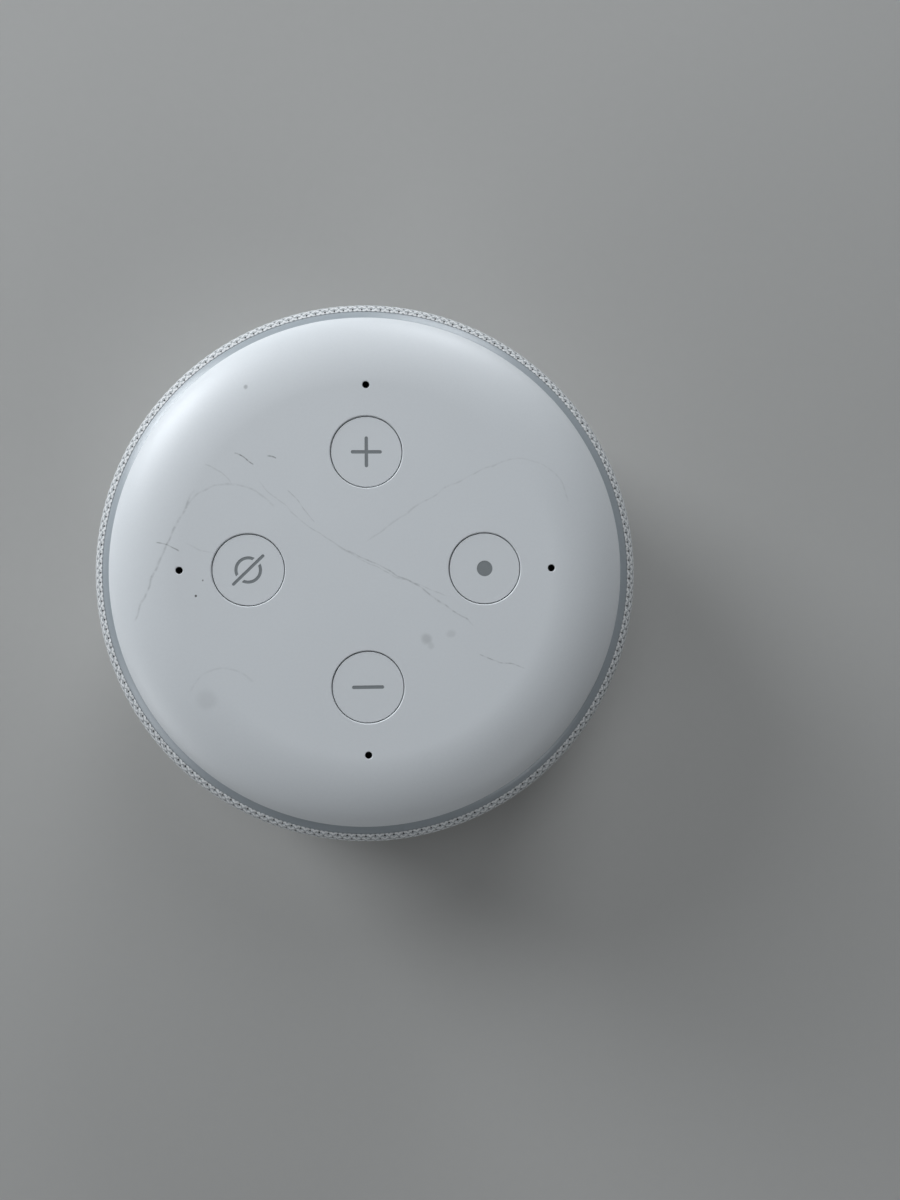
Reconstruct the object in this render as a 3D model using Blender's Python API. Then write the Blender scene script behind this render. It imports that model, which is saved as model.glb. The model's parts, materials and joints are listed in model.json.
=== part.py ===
"""Puck-shaped smart speaker, modelled as the separate pieces it comes apart into.

Run with: blender --background --python part.py. Sizes below are in millimetres, and the meshes are
in metres. +Z is up, the origin is the middle of the rubber pad's underside, +X is to the right of
the button face and +Y points to the back, where the two sockets are.

Heights are stacked from the base upwards, and radii are taken inwards from BODY_RADIUS, so a piece
moves with the one it seats on.
"""

import math

import bmesh
import bpy
from mathutils import Matrix, Vector

MM = 0.001

# Driving sizes
BODY_RADIUS = 49.5  # outside of the fabric
BAY_HEIGHT = 27.7  # floor of the base plate to the heat spreader: the room for the speaker
BUTTON_RADIUS = 6.1
CLEARANCE = 0.3  # between touching pieces
MERGE = 1e-7  # metres, for points that a full turn brings together
THROUGH = 1.0  # how far a cutter stands out of what it cuts

# How finely round pieces are cut
LARGE_SIDES = 48
MIDDLE_SIDES = 28
SMALL_SIDES = 20
SCREW_SIDES = 12

# Base
PAD_THICKNESS = 1.4
PAD_INSET = 2.5  # base plate's rim to the pad's recess
PAD_EDGE = 0.4
PLATE_WALL = 2.0
PLATE_RIM = 0.8  # how far the rim reaches down beside the pad
DEFLECTOR_RADIUS = 15.0
DEFLECTOR_HEIGHT = 2.0
BASE_BOSS_RADIUS = 4.2
BASE_BOSS_HEIGHT = 2.3

# Outer wall
FABRIC_WALL = 0.7
FRAME_WALL = 1.9
FABRIC_SHOULDER = 2.4  # height of the rounded upper edge
FABRIC_FOOT = 3.1  # height of the rounded lower edge
FABRIC_FOOT_INSET = 2.5
SLOT_COUNT = 24
SLOT_WIDTH = 3.6
SLOT_MARGIN = 4.0  # solid band above and below the sound slots
LEDGE_WALL = 1.5
LEDGE_WIDTH = 2.2

# Cover and light ring
COVER_WALL = 2.0
COVER_INSET = 3.5  # fabric's outside to the cover's edge
SHOULDER_WIDTH = 14.0
SHOULDER_DROP = 4.8
SHOULDER_SWEEP = 0.92  # share of a quarter ellipse, squared: less than 1 ends the slope early
LIP = 0.4
RING_REVEAL = 1.6
RING_HIDDEN = 1.0
RING_THICKNESS = 1.8
RING_SLOPE = 0.9
HOOK_COUNT = 6
HOOK_WIDTH = 5.0
HOOK_WALL = 0.8
HOOK_BARB = 1.0
BARB_INSET = 0.2  # a barb's ends from its hook's

# Buttons and switches
BUTTON_TRAVEL = 0.4
BUTTON_SINK = 0.1  # top of a button below the cover's top
BUTTON_EDGE = 0.25
FLANGE_WIDTH = 1.2
FLANGE_WALL = 0.8
STEM_RADIUS = 1.5
STEM_LENGTH = 0.4
COLLAR_WALL = 1.0
COLLAR_DEPTH = 1.4
SWITCH_SIDE = 5.0
SWITCH_HEIGHT = 1.6
PLUNGER_RADIUS = 1.1
PLUNGER_REACH = 0.7
PLUNGER_SEAT = 0.3  # floor of a switch's well above its underside

# Microphones
MIC_HOLE_RADIUS = 0.62
MIC_BOSS_RADIUS = 2.6
MIC_BOSS_DEPTH = 1.7
MIC_GASKET_RADIUS = 2.0
MIC_SIZE = (3.0, 2.4, 1.0)
MIC_PORT_RADIUS = 0.45
MIC_SPACING = 0.65  # between a microphone's boss and a button's collar

# Main board
BOARD_WALL = 1.2
BOARD_GAP = 3.6  # frame wall to the board's edge
SCREW_INSET = 7.0  # board's edge to its screws
LED_INSET = 0.6
LED_BAND = 1.8
LED_FILM = 0.2
LED_COUNT = 12
LED_SIDE = 1.5
LED_HEIGHT = 0.8
MIC_INSET = 10.5  # board's edge to the microphones
SHIELD_SIZE = (26.0, 20.0, 1.5)
SHIELD_WALL = 0.4
THERMAL_PAD_SIZE = (20.0, 15.0, 0.5)
SPREADER_WALL = 1.1
SPREADER_INSET = 3.0
STANDOFF_RADIUS = 3.2
BOARD_BOSS_RADIUS = 3.0
BOARD_SCREW_RADIUS = 1.0
BOARD_SCREW_HEAD = 2.2
BOARD_SCREW_HEAD_HEIGHT = 1.2
BOARD_SCREW_BITE = 3.2

# Ports
PORT_SPACING = 11.5
PORT_LENGTH = 25.0
PORT_HEIGHT = 10.0
PORT_RIM = 0.9
PANEL_DEPTH = 2.3  # fabric's outside to the flat panel
PANEL_WALL = 1.4
PANEL_SINK = 0.1  # fabric's outside to the frame round the panel
JACK_BOARD_WALL = 1.2
JACK_BOARD_RISE = 0.8
POWER_JACK_SIZE = (8.0, 10.6, 7.0)
AUDIO_JACK_SIZE = (7.0, 13.9, 6.4)
POWER_BORE_RADIUS = 2.2
POWER_PIN_RADIUS = 0.8
AUDIO_BORE_RADIUS = 1.8
JACK_COLLAR_WALL = 0.9
JACK_COLLAR_ROOT = 1.0  # how far a collar reaches into its jack
JACK_BACK_WALL = 1.0
RIBBON_WIDTH = 6.0
RIBBON_WALL = 0.3
RIBBON_BEND = 2.0
RIBBON_TAIL = 1.0  # straight end that enters the socket
RIBBON_AZIMUTH = 67.5
RIBBON_INSET = 4.9  # frame wall to the ribbon's rise
SOCKET_SIZE = (7.0, 3.0, 1.2)

# Enclosure
ACOUSTIC_GAP = 6.8  # floor of the base plate to the baffle
BAFFLE_WALL = 2.0
EAR_INSET = 0.2  # an ear's faces from the baffle's
EAR_ROOT = 3.0  # how far an ear reaches into the baffle
CUP_WALL = 1.6
CUP_INSET = 15.6  # frame wall to the cup
POST_INSET = 8.6  # frame wall to the base screws
POST_RADIUS = 3.4
POST_DROP = 3.5  # cup's top to the posts' tops
POST_CAP = 1.5  # solid end of a post, above its screw hole
WEB_WALL = 2.4
WEB_INSET = 0.5  # a web's ends from its post's
BASE_SCREW_RADIUS = 1.3
BASE_SCREW_HEAD = 2.8
BASE_SCREW_HEAD_HEIGHT = 1.8
BASE_SCREW_END = 4.0  # posts' tops to the screws' tips

# Speaker driver
DRIVER_RADIUS = 20.5
BASKET_WALL = 1.0
BASKET_FLANGE = 1.2
BASKET_FLANGE_WIDTH = 2.3
BASKET_DEPTH = 7.1
BASKET_NECK_RADIUS = 14.4
BASKET_STEP = 0.55  # where the basket narrows, as a share of its depth
WINDOW_COUNT = 6
WINDOW_WIDTH = 5.5
GASKET_WALL = 0.5
CONE_TRAVEL = 1.2
CONE_WALL = 0.4
CONE_DEPTH = 4.6
CONE_BULGE = 0.3
ROLL_RADIUS = 1.5
ROLL_WALL = 0.5
LANDING_WIDTH = 2.2
SPIDER_WALL = 0.4
SPIDER_WAVE = 0.35
SPIDER_WAVES = 2
POLE_RADIUS = 6.0
COIL_WALL = 0.7
TOP_PLATE_WALL = 2.0
YOKE_WALL = 1.8
MAGNET_RADIUS = 14.0
MAGNET_BORE_GAP = 1.6  # coil's outside to the magnet's hole
DUST_CAP_HEIGHT = 1.8
WIRE_RADIUS = 0.6
WIRE_SPACING = 2.6
WIRE_GAP = 6.0  # cup's wall to the wires' rise

# Heights, from the base upwards
PAD_TOP = PAD_THICKNESS
PLATE_UNDER = PAD_TOP + CLEARANCE
PLATE_TOP = PLATE_UNDER + PLATE_WALL
SPREADER_UNDER = PLATE_TOP + BAY_HEIGHT
SPREADER_TOP = SPREADER_UNDER + SPREADER_WALL
THERMAL_UNDER = SPREADER_TOP + CLEARANCE
SHIELD_UNDER = THERMAL_UNDER + THERMAL_PAD_SIZE[2] + CLEARANCE
BOARD_UNDER = SHIELD_UNDER + SHIELD_SIZE[2] + CLEARANCE
BOARD_TOP = BOARD_UNDER + BOARD_WALL
SWITCH_UNDER = BOARD_TOP + CLEARANCE
SWITCH_TOP = SWITCH_UNDER + SWITCH_HEIGHT
PLUNGER_TOP = SWITCH_TOP + PLUNGER_REACH
FLANGE_UNDER = PLUNGER_TOP + CLEARANCE + STEM_LENGTH
FLANGE_TOP = FLANGE_UNDER + FLANGE_WALL
COVER_UNDER = FLANGE_TOP + CLEARANCE
COVER_TOP = COVER_UNDER + COVER_WALL
COVER_EDGE_Z = COVER_TOP - SHOULDER_DROP
LIP_UNDER = COVER_EDGE_Z - LIP
RING_TOP = LIP_UNDER - CLEARANCE
RING_UNDER = RING_TOP - RING_THICKNESS
LEDGE_TOP = RING_UNDER - CLEARANCE
LEDGE_UNDER = LEDGE_TOP - LEDGE_WALL
FABRIC_TOP = RING_TOP - RING_SLOPE
BAFFLE_UNDER = PLATE_TOP + ACOUSTIC_GAP
BAFFLE_TOP = BAFFLE_UNDER + BAFFLE_WALL
CUP_UNDER = BAFFLE_TOP + CLEARANCE
CUP_TOP = SPREADER_UNDER - BOARD_SCREW_HEAD_HEIGHT - 3 * CLEARANCE
POST_TOP = CUP_TOP - POST_DROP
YOKE_TOP = CUP_TOP - CUP_WALL - CLEARANCE
YOKE_UNDER = YOKE_TOP - YOKE_WALL
GASKET_TOP = BAFFLE_UNDER - CLEARANCE
DRIVER_FLANGE_TOP = GASKET_TOP - GASKET_WALL - CLEARANCE
DRIVER_FRONT = DRIVER_FLANGE_TOP - BASKET_FLANGE
BASKET_TOP = DRIVER_FLANGE_TOP + BASKET_DEPTH
TOP_PLATE_UNDER = BASKET_TOP + CLEARANCE
TOP_PLATE_TOP = TOP_PLATE_UNDER + TOP_PLATE_WALL
JACK_BOARD_UNDER = PLATE_TOP + JACK_BOARD_RISE
JACK_BOARD_TOP = JACK_BOARD_UNDER + JACK_BOARD_WALL
JACK_UNDER = JACK_BOARD_TOP + CLEARANCE
PORT_Z = JACK_UNDER + POWER_JACK_SIZE[2] / 2

# Radii, from the fabric inwards
FRAME_RADIUS = BODY_RADIUS - FABRIC_WALL - CLEARANCE
FRAME_INSIDE = FRAME_RADIUS - FRAME_WALL
PLATE_RADIUS = FRAME_INSIDE - CLEARANCE
PAD_RADIUS = PLATE_RADIUS - PAD_INSET - CLEARANCE
COVER_RADIUS = BODY_RADIUS - COVER_INSET
RING_RADIUS = COVER_RADIUS + RING_REVEAL
RING_INSIDE = COVER_RADIUS - RING_HIDDEN
LEDGE_INSIDE = FRAME_INSIDE - LEDGE_WIDTH
BOARD_RADIUS = FRAME_INSIDE - BOARD_GAP
SPREADER_RADIUS = BOARD_RADIUS - SPREADER_INSET
BOARD_SCREW_PITCH = BOARD_RADIUS - SCREW_INSET
MIC_PITCH = BOARD_RADIUS - MIC_INSET
FLANGE_RADIUS = BUTTON_RADIUS + FLANGE_WIDTH
COLLAR_INSIDE = FLANGE_RADIUS + CLEARANCE
COLLAR_RADIUS = COLLAR_INSIDE + COLLAR_WALL
BUTTON_PITCH = MIC_PITCH - MIC_BOSS_RADIUS - COLLAR_RADIUS - MIC_SPACING
CUP_RADIUS = FRAME_INSIDE - CUP_INSET
POST_PITCH = FRAME_INSIDE - POST_INSET
PANEL_Y = BODY_RADIUS - PANEL_DEPTH
JACK_FRONT = PANEL_Y - PANEL_WALL - CLEARANCE
BASKET_RADIUS = DRIVER_RADIUS - BASKET_FLANGE_WIDTH
COIL_INSIDE = POLE_RADIUS + CLEARANCE
COIL_RADIUS = COIL_INSIDE + COIL_WALL

# Where repeated pieces stand, as names and angles from +X
BUTTON_PLACES = (("volume_up", 90), ("mic_off", 180), ("volume_down", 270), ("action", 0))
CORNERS = (45, 135, 225, 315)
QUARTERS = (0, 90, 180, 270)

MATERIALS = {
    "white_shell": ((0.80, 0.82, 0.83), 0.45, 0.0),
    "frosted_ring": ((0.52, 0.55, 0.57), 0.35, 0.0),
    "pale_fabric": ((0.74, 0.75, 0.76), 0.95, 0.0),
    "grey_rubber": ((0.45, 0.46, 0.47), 0.85, 0.0),
    "grey_shell": ((0.16, 0.17, 0.18), 0.6, 0.0),
    "black_plastic": ((0.03, 0.03, 0.035), 0.5, 0.0),
    "board_green": ((0.02, 0.13, 0.07), 0.4, 0.0),
    "tinned_steel": ((0.62, 0.63, 0.65), 0.35, 1.0),
    "aluminium": ((0.72, 0.73, 0.75), 0.4, 1.0),
    "brass": ((0.75, 0.58, 0.28), 0.3, 1.0),
    "copper": ((0.75, 0.36, 0.2), 0.35, 1.0),
    "ferrite": ((0.06, 0.06, 0.065), 0.55, 0.0),
    "paper_cone": ((0.05, 0.05, 0.05), 0.8, 0.0),
    "black_rubber": ((0.02, 0.02, 0.02), 0.7, 0.0),
    "spider_cloth": ((0.55, 0.42, 0.2), 0.9, 0.0),
    "red_wire": ((0.5, 0.03, 0.03), 0.5, 0.0),
    "black_wire": ((0.02, 0.02, 0.02), 0.5, 0.0),
    "ribbon_film": ((0.75, 0.76, 0.78), 0.4, 0.0),
}


def material(name):
    """The named material, made the first time it is asked for."""
    found = bpy.data.materials.get(name)
    if found:
        return found
    colour, roughness, metallic = MATERIALS[name]
    made = bpy.data.materials.new(name)
    made.use_nodes = True
    shader = made.node_tree.nodes["Principled BSDF"]
    shader.inputs["Base Color"].default_value = (*colour, 1.0)
    shader.inputs["Roughness"].default_value = roughness
    shader.inputs["Metallic"].default_value = metallic
    return made


def polar(pitch, azimuth):
    """The point at that distance from the Z axis, azimuth in degrees from +X."""
    angle = math.radians(azimuth)
    return Vector((pitch * math.cos(angle), pitch * math.sin(angle), 0.0))


def metres(*values):
    """A vector in metres from millimetres."""
    return Vector(values) * MM


def place(bm, name, finish, at=(0.0, 0.0, 0.0), smooth=30):
    """Makes a bmesh an object with its origin at that point, in millimetres."""
    bmesh.ops.recalc_face_normals(bm, faces=bm.faces)
    mesh = bpy.data.meshes.new(name)
    bm.to_mesh(mesh)
    bm.free()
    mesh.shade_smooth()
    mesh.set_sharp_from_angle(angle=math.radians(smooth))
    return place_mesh(mesh, name, finish, at)


def place_mesh(mesh, name, finish, at=(0.0, 0.0, 0.0)):
    """An object for a mesh that other objects may share."""
    made = bpy.data.objects.new(name, mesh)
    made.location = metres(*at)
    bpy.context.scene.collection.objects.link(made)
    made.parent = ASSEMBLY
    if finish and not mesh.materials:
        mesh.materials.append(material(finish))
    return made


def change(target, helper, operation):
    """Cuts or joins a helper, which is left out of the model."""
    helper.hide_render = True
    helper.display_type = "WIRE"
    modifier = target.modifiers.new(helper.name, "BOOLEAN")
    modifier.operation = operation
    modifier.object = helper
    return target


def cut(target, name, bm):
    """Takes the shapes in bm out of target."""
    return change(target, place(bm, f"{target.name}_{name}_cutter", None), "DIFFERENCE")


def join(target, name, bm):
    """Adds the shapes in bm to target."""
    return change(target, place(bm, f"{target.name}_{name}_adder", None), "UNION")


def arc(centre, radii, start, end, steps):
    """Points of an ellipse's arc, from one angle to another, as (radius, height) pairs."""
    angles = [math.radians(start + (end - start) * i / steps) for i in range(steps + 1)]
    (x, y), (width, height) = centre, radii
    return [(x + width * math.cos(a), y + height * math.sin(a)) for a in angles]


def shoulder(start, top, width, drop, steps):
    """The cover's rounded edge: an ellipse that leaves the flat top level and ends in a slope."""
    reach = math.sqrt(SHOULDER_SWEEP)
    depth = drop / (1 - math.sqrt(1 - SHOULDER_SWEEP))
    last = math.asin(reach)
    angles = [last * i / steps for i in range(steps + 1)]
    return [(start + width * math.sin(a) / reach, top - depth * (1 - math.cos(a))) for a in angles]


def turned_bmesh(profile, sides):
    """A closed outline of (radius, height) points, turned about Z."""
    bm = bmesh.new()
    verts = [bm.verts.new(metres(r, 0.0, z)) for r, z in profile]
    edges = [bm.edges.new((a, b)) for a, b in zip(verts, verts[1:] + verts[:1])]
    bmesh.ops.spin(
        bm,
        geom=verts + edges,
        cent=(0.0, 0.0, 0.0),
        axis=(0.0, 0.0, 1.0),
        angle=2 * math.pi,
        steps=sides,
        use_merge=True,
    )
    bmesh.ops.remove_doubles(bm, verts=bm.verts, dist=MERGE)
    on_axis = [e for e in bm.edges if not e.link_faces]
    bmesh.ops.delete(bm, geom=on_axis, context="EDGES")
    return bm


def turned(name, profile, finish, sides=LARGE_SIDES, at=(0.0, 0.0, 0.0), smooth=30):
    """An object turned about Z through the point at."""
    return place(turned_bmesh(profile, sides), name, finish, at, smooth)


def washer(inside, outside, low, high):
    """The outline of a flat ring or, with inside 0, of a disc."""
    return [(inside, low), (outside, low), (outside, high), (inside, high)]


def add_cylinder(bm, radius, low, high, at=(0.0, 0.0), sides=SMALL_SIDES, top_radius=None):
    """A cylinder or cone along Z."""
    turn = Matrix.Translation(metres(at[0], at[1], (low + high) / 2))
    bmesh.ops.create_cone(
        bm,
        cap_ends=True,
        segments=sides,
        radius1=radius * MM,
        radius2=(radius if top_radius is None else top_radius) * MM,
        depth=(high - low) * MM,
        matrix=turn,
    )


def add_bar(bm, radius, front, back, at, sides=SMALL_SIDES):
    """A cylinder along Y, from y = back to y = front, at (x, z)."""
    middle = Matrix.Translation(metres(at[0], (front + back) / 2, at[1]))
    bmesh.ops.create_cone(
        bm,
        cap_ends=True,
        segments=sides,
        radius1=radius * MM,
        radius2=radius * MM,
        depth=(front - back) * MM,
        matrix=middle @ Matrix.Rotation(math.pi / 2, 4, "X"),
    )


def add_box(bm, x, y, z, azimuth=0.0):
    """A box between pairs of limits, turned about Z by azimuth degrees after it is placed."""
    size = metres(x[1] - x[0], y[1] - y[0], z[1] - z[0])
    centre = metres(x[0] + x[1], y[0] + y[1], z[0] + z[1]) / 2
    turn = Matrix.Rotation(math.radians(azimuth), 4, "Z")
    scaled = Matrix.Translation(centre) @ Matrix.Diagonal((*size, 1.0))
    bmesh.ops.create_cube(bm, size=1.0, matrix=turn @ scaled)


def pill(length, height, front, back, z, end_steps=8):
    """A plate with round ends, standing across Y and centred on x = 0."""
    bm = bmesh.new()
    radius = height / 2
    half = length / 2 - radius
    outline = arc((half, z), (radius, radius), -90, 90, end_steps)
    outline += arc((-half, z), (radius, radius), 90, 270, end_steps)
    face = bm.faces.new([bm.verts.new(metres(x, back, h)) for x, h in outline])
    moved = bmesh.ops.extrude_face_region(bm, geom=[face])["geom"]
    verts = [v for v in moved if isinstance(v, bmesh.types.BMVert)]
    bmesh.ops.translate(bm, verts=verts, vec=metres(0.0, front - back, 0.0))
    return bm


def screw_profile(radius, length, head_radius, head_height):
    """A pan-head screw, head down, with the underside of its head at height 0."""
    point = radius * 0.9
    return [
        (0.0, -head_height),
        (head_radius * 0.75, -head_height),
        (head_radius, -head_height * 0.45),
        (head_radius, 0.0),
        (radius, 0.0),
        (radius, length - point),
        (radius * 0.35, length),
        (0.0, length),
    ]


def smooth_line(points, per_span=4):
    """A Catmull-Rom curve through the points."""
    ends = [2 * points[0] - points[1], *points, 2 * points[-1] - points[-2]]
    line = []
    for a, b, c, d in zip(ends, ends[1:], ends[2:], ends[3:]):
        for i in range(per_span):
            t = i / per_span
            bend = (2 * a - 5 * b + 4 * c - d) * t**2 + (3 * b - a - 3 * c + d) * t**3
            line.append(0.5 * (2 * b + (c - a) * t + bend))
    return [*line, points[-1]]


def tube(name, line, radius, finish):
    """A wire along a line of points in millimetres."""
    curve = bpy.data.curves.new(name, "CURVE")
    curve.dimensions = "3D"
    curve.bevel_depth = radius * MM
    curve.bevel_resolution = 2
    curve.use_fill_caps = True
    spline = curve.splines.new("POLY")
    spline.points.add(len(line) - 1)
    for point, p in zip(spline.points, line):
        point.co = (*(p * MM), 1.0)
    curve.materials.append(material(finish))
    made = bpy.data.objects.new(name, curve)
    bpy.context.scene.collection.objects.link(made)
    made.parent = ASSEMBLY
    return made


def make_base():
    """Rubber pad, base plate with its sound deflector, and the four screws under the pad."""
    pad_low = [(0.0, 0.0), (PAD_RADIUS - PAD_EDGE, 0.0), (PAD_RADIUS, PAD_EDGE)]
    turned("base_pad", pad_low + [(PAD_RADIUS, PAD_TOP), (0.0, PAD_TOP)], "grey_rubber")
    recess = PAD_RADIUS + CLEARANCE
    rim_under = PLATE_UNDER - PLATE_RIM
    deflector = [
        (DEFLECTOR_RADIUS * f, PLATE_TOP + DEFLECTOR_HEIGHT * (1 - f) ** 1.5)
        for f in (1.0, 0.6, 0.25, 0.0)
    ]
    outline = [
        (0.0, PLATE_UNDER),
        (recess, PLATE_UNDER),
        (recess, rim_under),
        (PLATE_RADIUS - 2 * PLATE_RIM, rim_under),
        (PLATE_RADIUS, PLATE_UNDER + PLATE_RIM),
        (PLATE_RADIUS, PLATE_TOP),
    ]
    plate = turned("base_plate", outline + deflector, "white_shell")
    bosses = bmesh.new()
    heads = bmesh.new()
    shanks = bmesh.new()
    head_top = PLATE_UNDER + BASE_SCREW_HEAD_HEIGHT + 2 * CLEARANCE
    boss_top = PLATE_TOP + BASE_BOSS_HEIGHT
    base_hole = BASE_SCREW_RADIUS + CLEARANCE
    for azimuth in CORNERS:
        at = polar(POST_PITCH, azimuth)
        add_cylinder(bosses, BASE_BOSS_RADIUS, PLATE_UNDER + PLATE_WALL / 2, boss_top, at)
        add_cylinder(heads, BASE_SCREW_HEAD + CLEARANCE, PLATE_UNDER - PLATE_WALL, head_top, at)
        add_cylinder(shanks, base_hole, PLATE_UNDER, boss_top + PLATE_WALL, at, SCREW_SIDES)
    join(plate, "boss", bosses)
    cut(plate, "head", heads)
    cut(plate, "shank", shanks)
    shank = POST_TOP - BASE_SCREW_END - head_top
    outline = screw_profile(BASE_SCREW_RADIUS, shank, BASE_SCREW_HEAD, BASE_SCREW_HEAD_HEIGHT)
    first = turned("base_screw_1", outline, "tinned_steel", SCREW_SIDES)
    for number, azimuth in enumerate(CORNERS, 1):
        at = polar(POST_PITCH, azimuth)
        screw = first if number == 1 else place_mesh(first.data, f"base_screw_{number}", None)
        screw.location = metres(at.x, at.y, head_top - CLEARANCE)


def wall_outline(radius, top_inside, top, bottom_inset, wall):
    """The outer wall's section: a rounded upper edge, a straight side and a rounded lower edge."""
    upper = top - FABRIC_SHOULDER
    low = PLATE_TOP - FABRIC_FOOT / 2
    lower = low + FABRIC_FOOT
    width = radius - top_inside
    foot = bottom_inset
    outside = arc((top_inside, upper), (width, FABRIC_SHOULDER), 90, 0, 3)
    outside += arc((radius - foot, lower), (foot, FABRIC_FOOT), 0, -80, 3)
    inner = radius - wall
    inside = arc((inner - foot + wall, lower), (foot - wall, FABRIC_FOOT - wall), -80, 0, 2)
    inside += arc((top_inside, upper), (width - wall, FABRIC_SHOULDER - wall), 0, 90, 2)
    return outside + inside


def make_wall():
    """Fabric sleeve over a slotted frame, with a window for the sockets."""
    sleeve_inside = RING_RADIUS + CLEARANCE
    section = wall_outline(BODY_RADIUS, sleeve_inside, FABRIC_TOP, FABRIC_FOOT_INSET, FABRIC_WALL)
    sleeve = turned("fabric_sleeve", section, "pale_fabric")
    lower = PLATE_TOP - FABRIC_FOOT / 2 + FABRIC_FOOT
    foot_under = PLATE_TOP
    corner = FABRIC_SHOULDER / 2
    section = [
        (FRAME_INSIDE, foot_under),
        (FRAME_INSIDE + FRAME_WALL / 3, foot_under),
        (FRAME_RADIUS, lower + FABRIC_FOOT / 3),
        (FRAME_RADIUS, LEDGE_TOP - corner),
        (FRAME_RADIUS - corner / 2, LEDGE_TOP),
        (LEDGE_INSIDE, LEDGE_TOP),
        (LEDGE_INSIDE, LEDGE_UNDER),
        (FRAME_INSIDE, LEDGE_UNDER),
    ]
    frame = turned("grille_frame", section, "grey_shell")
    posts = bmesh.new()
    pilots = bmesh.new()
    for azimuth in CORNERS:
        at = polar(POST_PITCH, azimuth)
        add_cylinder(posts, POST_RADIUS, CUP_UNDER, POST_TOP, at)
        bite = (CUP_UNDER - THROUGH, POST_TOP - POST_CAP)
        add_cylinder(pilots, BASE_SCREW_RADIUS + CLEARANCE, *bite, at, SCREW_SIDES)
    join(frame, "post", posts)
    webs = bmesh.new()
    web = (POST_PITCH + BASE_SCREW_RADIUS + 2 * CLEARANCE, FRAME_INSIDE + FRAME_WALL / 2)
    web_height = (CUP_UNDER + WEB_INSET, POST_TOP - WEB_INSET)
    for azimuth in CORNERS:
        add_box(webs, web, (-WEB_WALL / 2, WEB_WALL / 2), web_height, azimuth)
    join(frame, "web", webs)
    cut(frame, "pilot", pilots)
    slots = bmesh.new()
    step = 360 / SLOT_COUNT
    low = lower + SLOT_MARGIN
    high = LEDGE_UNDER - SLOT_MARGIN / 2
    for number in range(SLOT_COUNT):
        azimuth = step * (number + 0.5)
        near_post = min(abs(azimuth - corner) for corner in CORNERS) < step * 0.6
        near_port = abs(azimuth - 90) < math.degrees(PORT_LENGTH / 2 / BODY_RADIUS) + step / 2
        bottom = PORT_Z + PORT_HEIGHT / 2 + 2 if near_port else low
        if near_post:
            continue
        side = (-SLOT_WIDTH / 2, SLOT_WIDTH / 2)
        through = (FRAME_INSIDE - THROUGH, FRAME_RADIUS + THROUGH)
        add_box(slots, through, side, (bottom, high), azimuth)
    cut(frame, "slot", slots)
    gap = 2 * CLEARANCE
    back = FRAME_INSIDE - 6 * THROUGH
    window = (PORT_LENGTH + gap, PORT_HEIGHT + gap, BODY_RADIUS + 2 * THROUGH, back, PORT_Z)
    cut(sleeve, "window", pill(*window))
    cut(frame, "window", pill(*window))


def cover_profile():
    """The cover's section, without its bosses and holes."""
    flat = COVER_RADIUS - SHOULDER_WIDTH
    outside = shoulder(flat, COVER_TOP, SHOULDER_WIDTH, SHOULDER_DROP, 6)
    inner_width = SHOULDER_WIDTH - COVER_WALL - LIP / 2
    inside = shoulder(flat, COVER_UNDER, inner_width, COVER_UNDER - LIP_UNDER, 3)
    edge = (COVER_RADIUS - LIP / 2, LIP_UNDER)
    return [(0.0, COVER_TOP), *outside, edge, *inside[::-1], (0.0, COVER_UNDER)]


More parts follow.
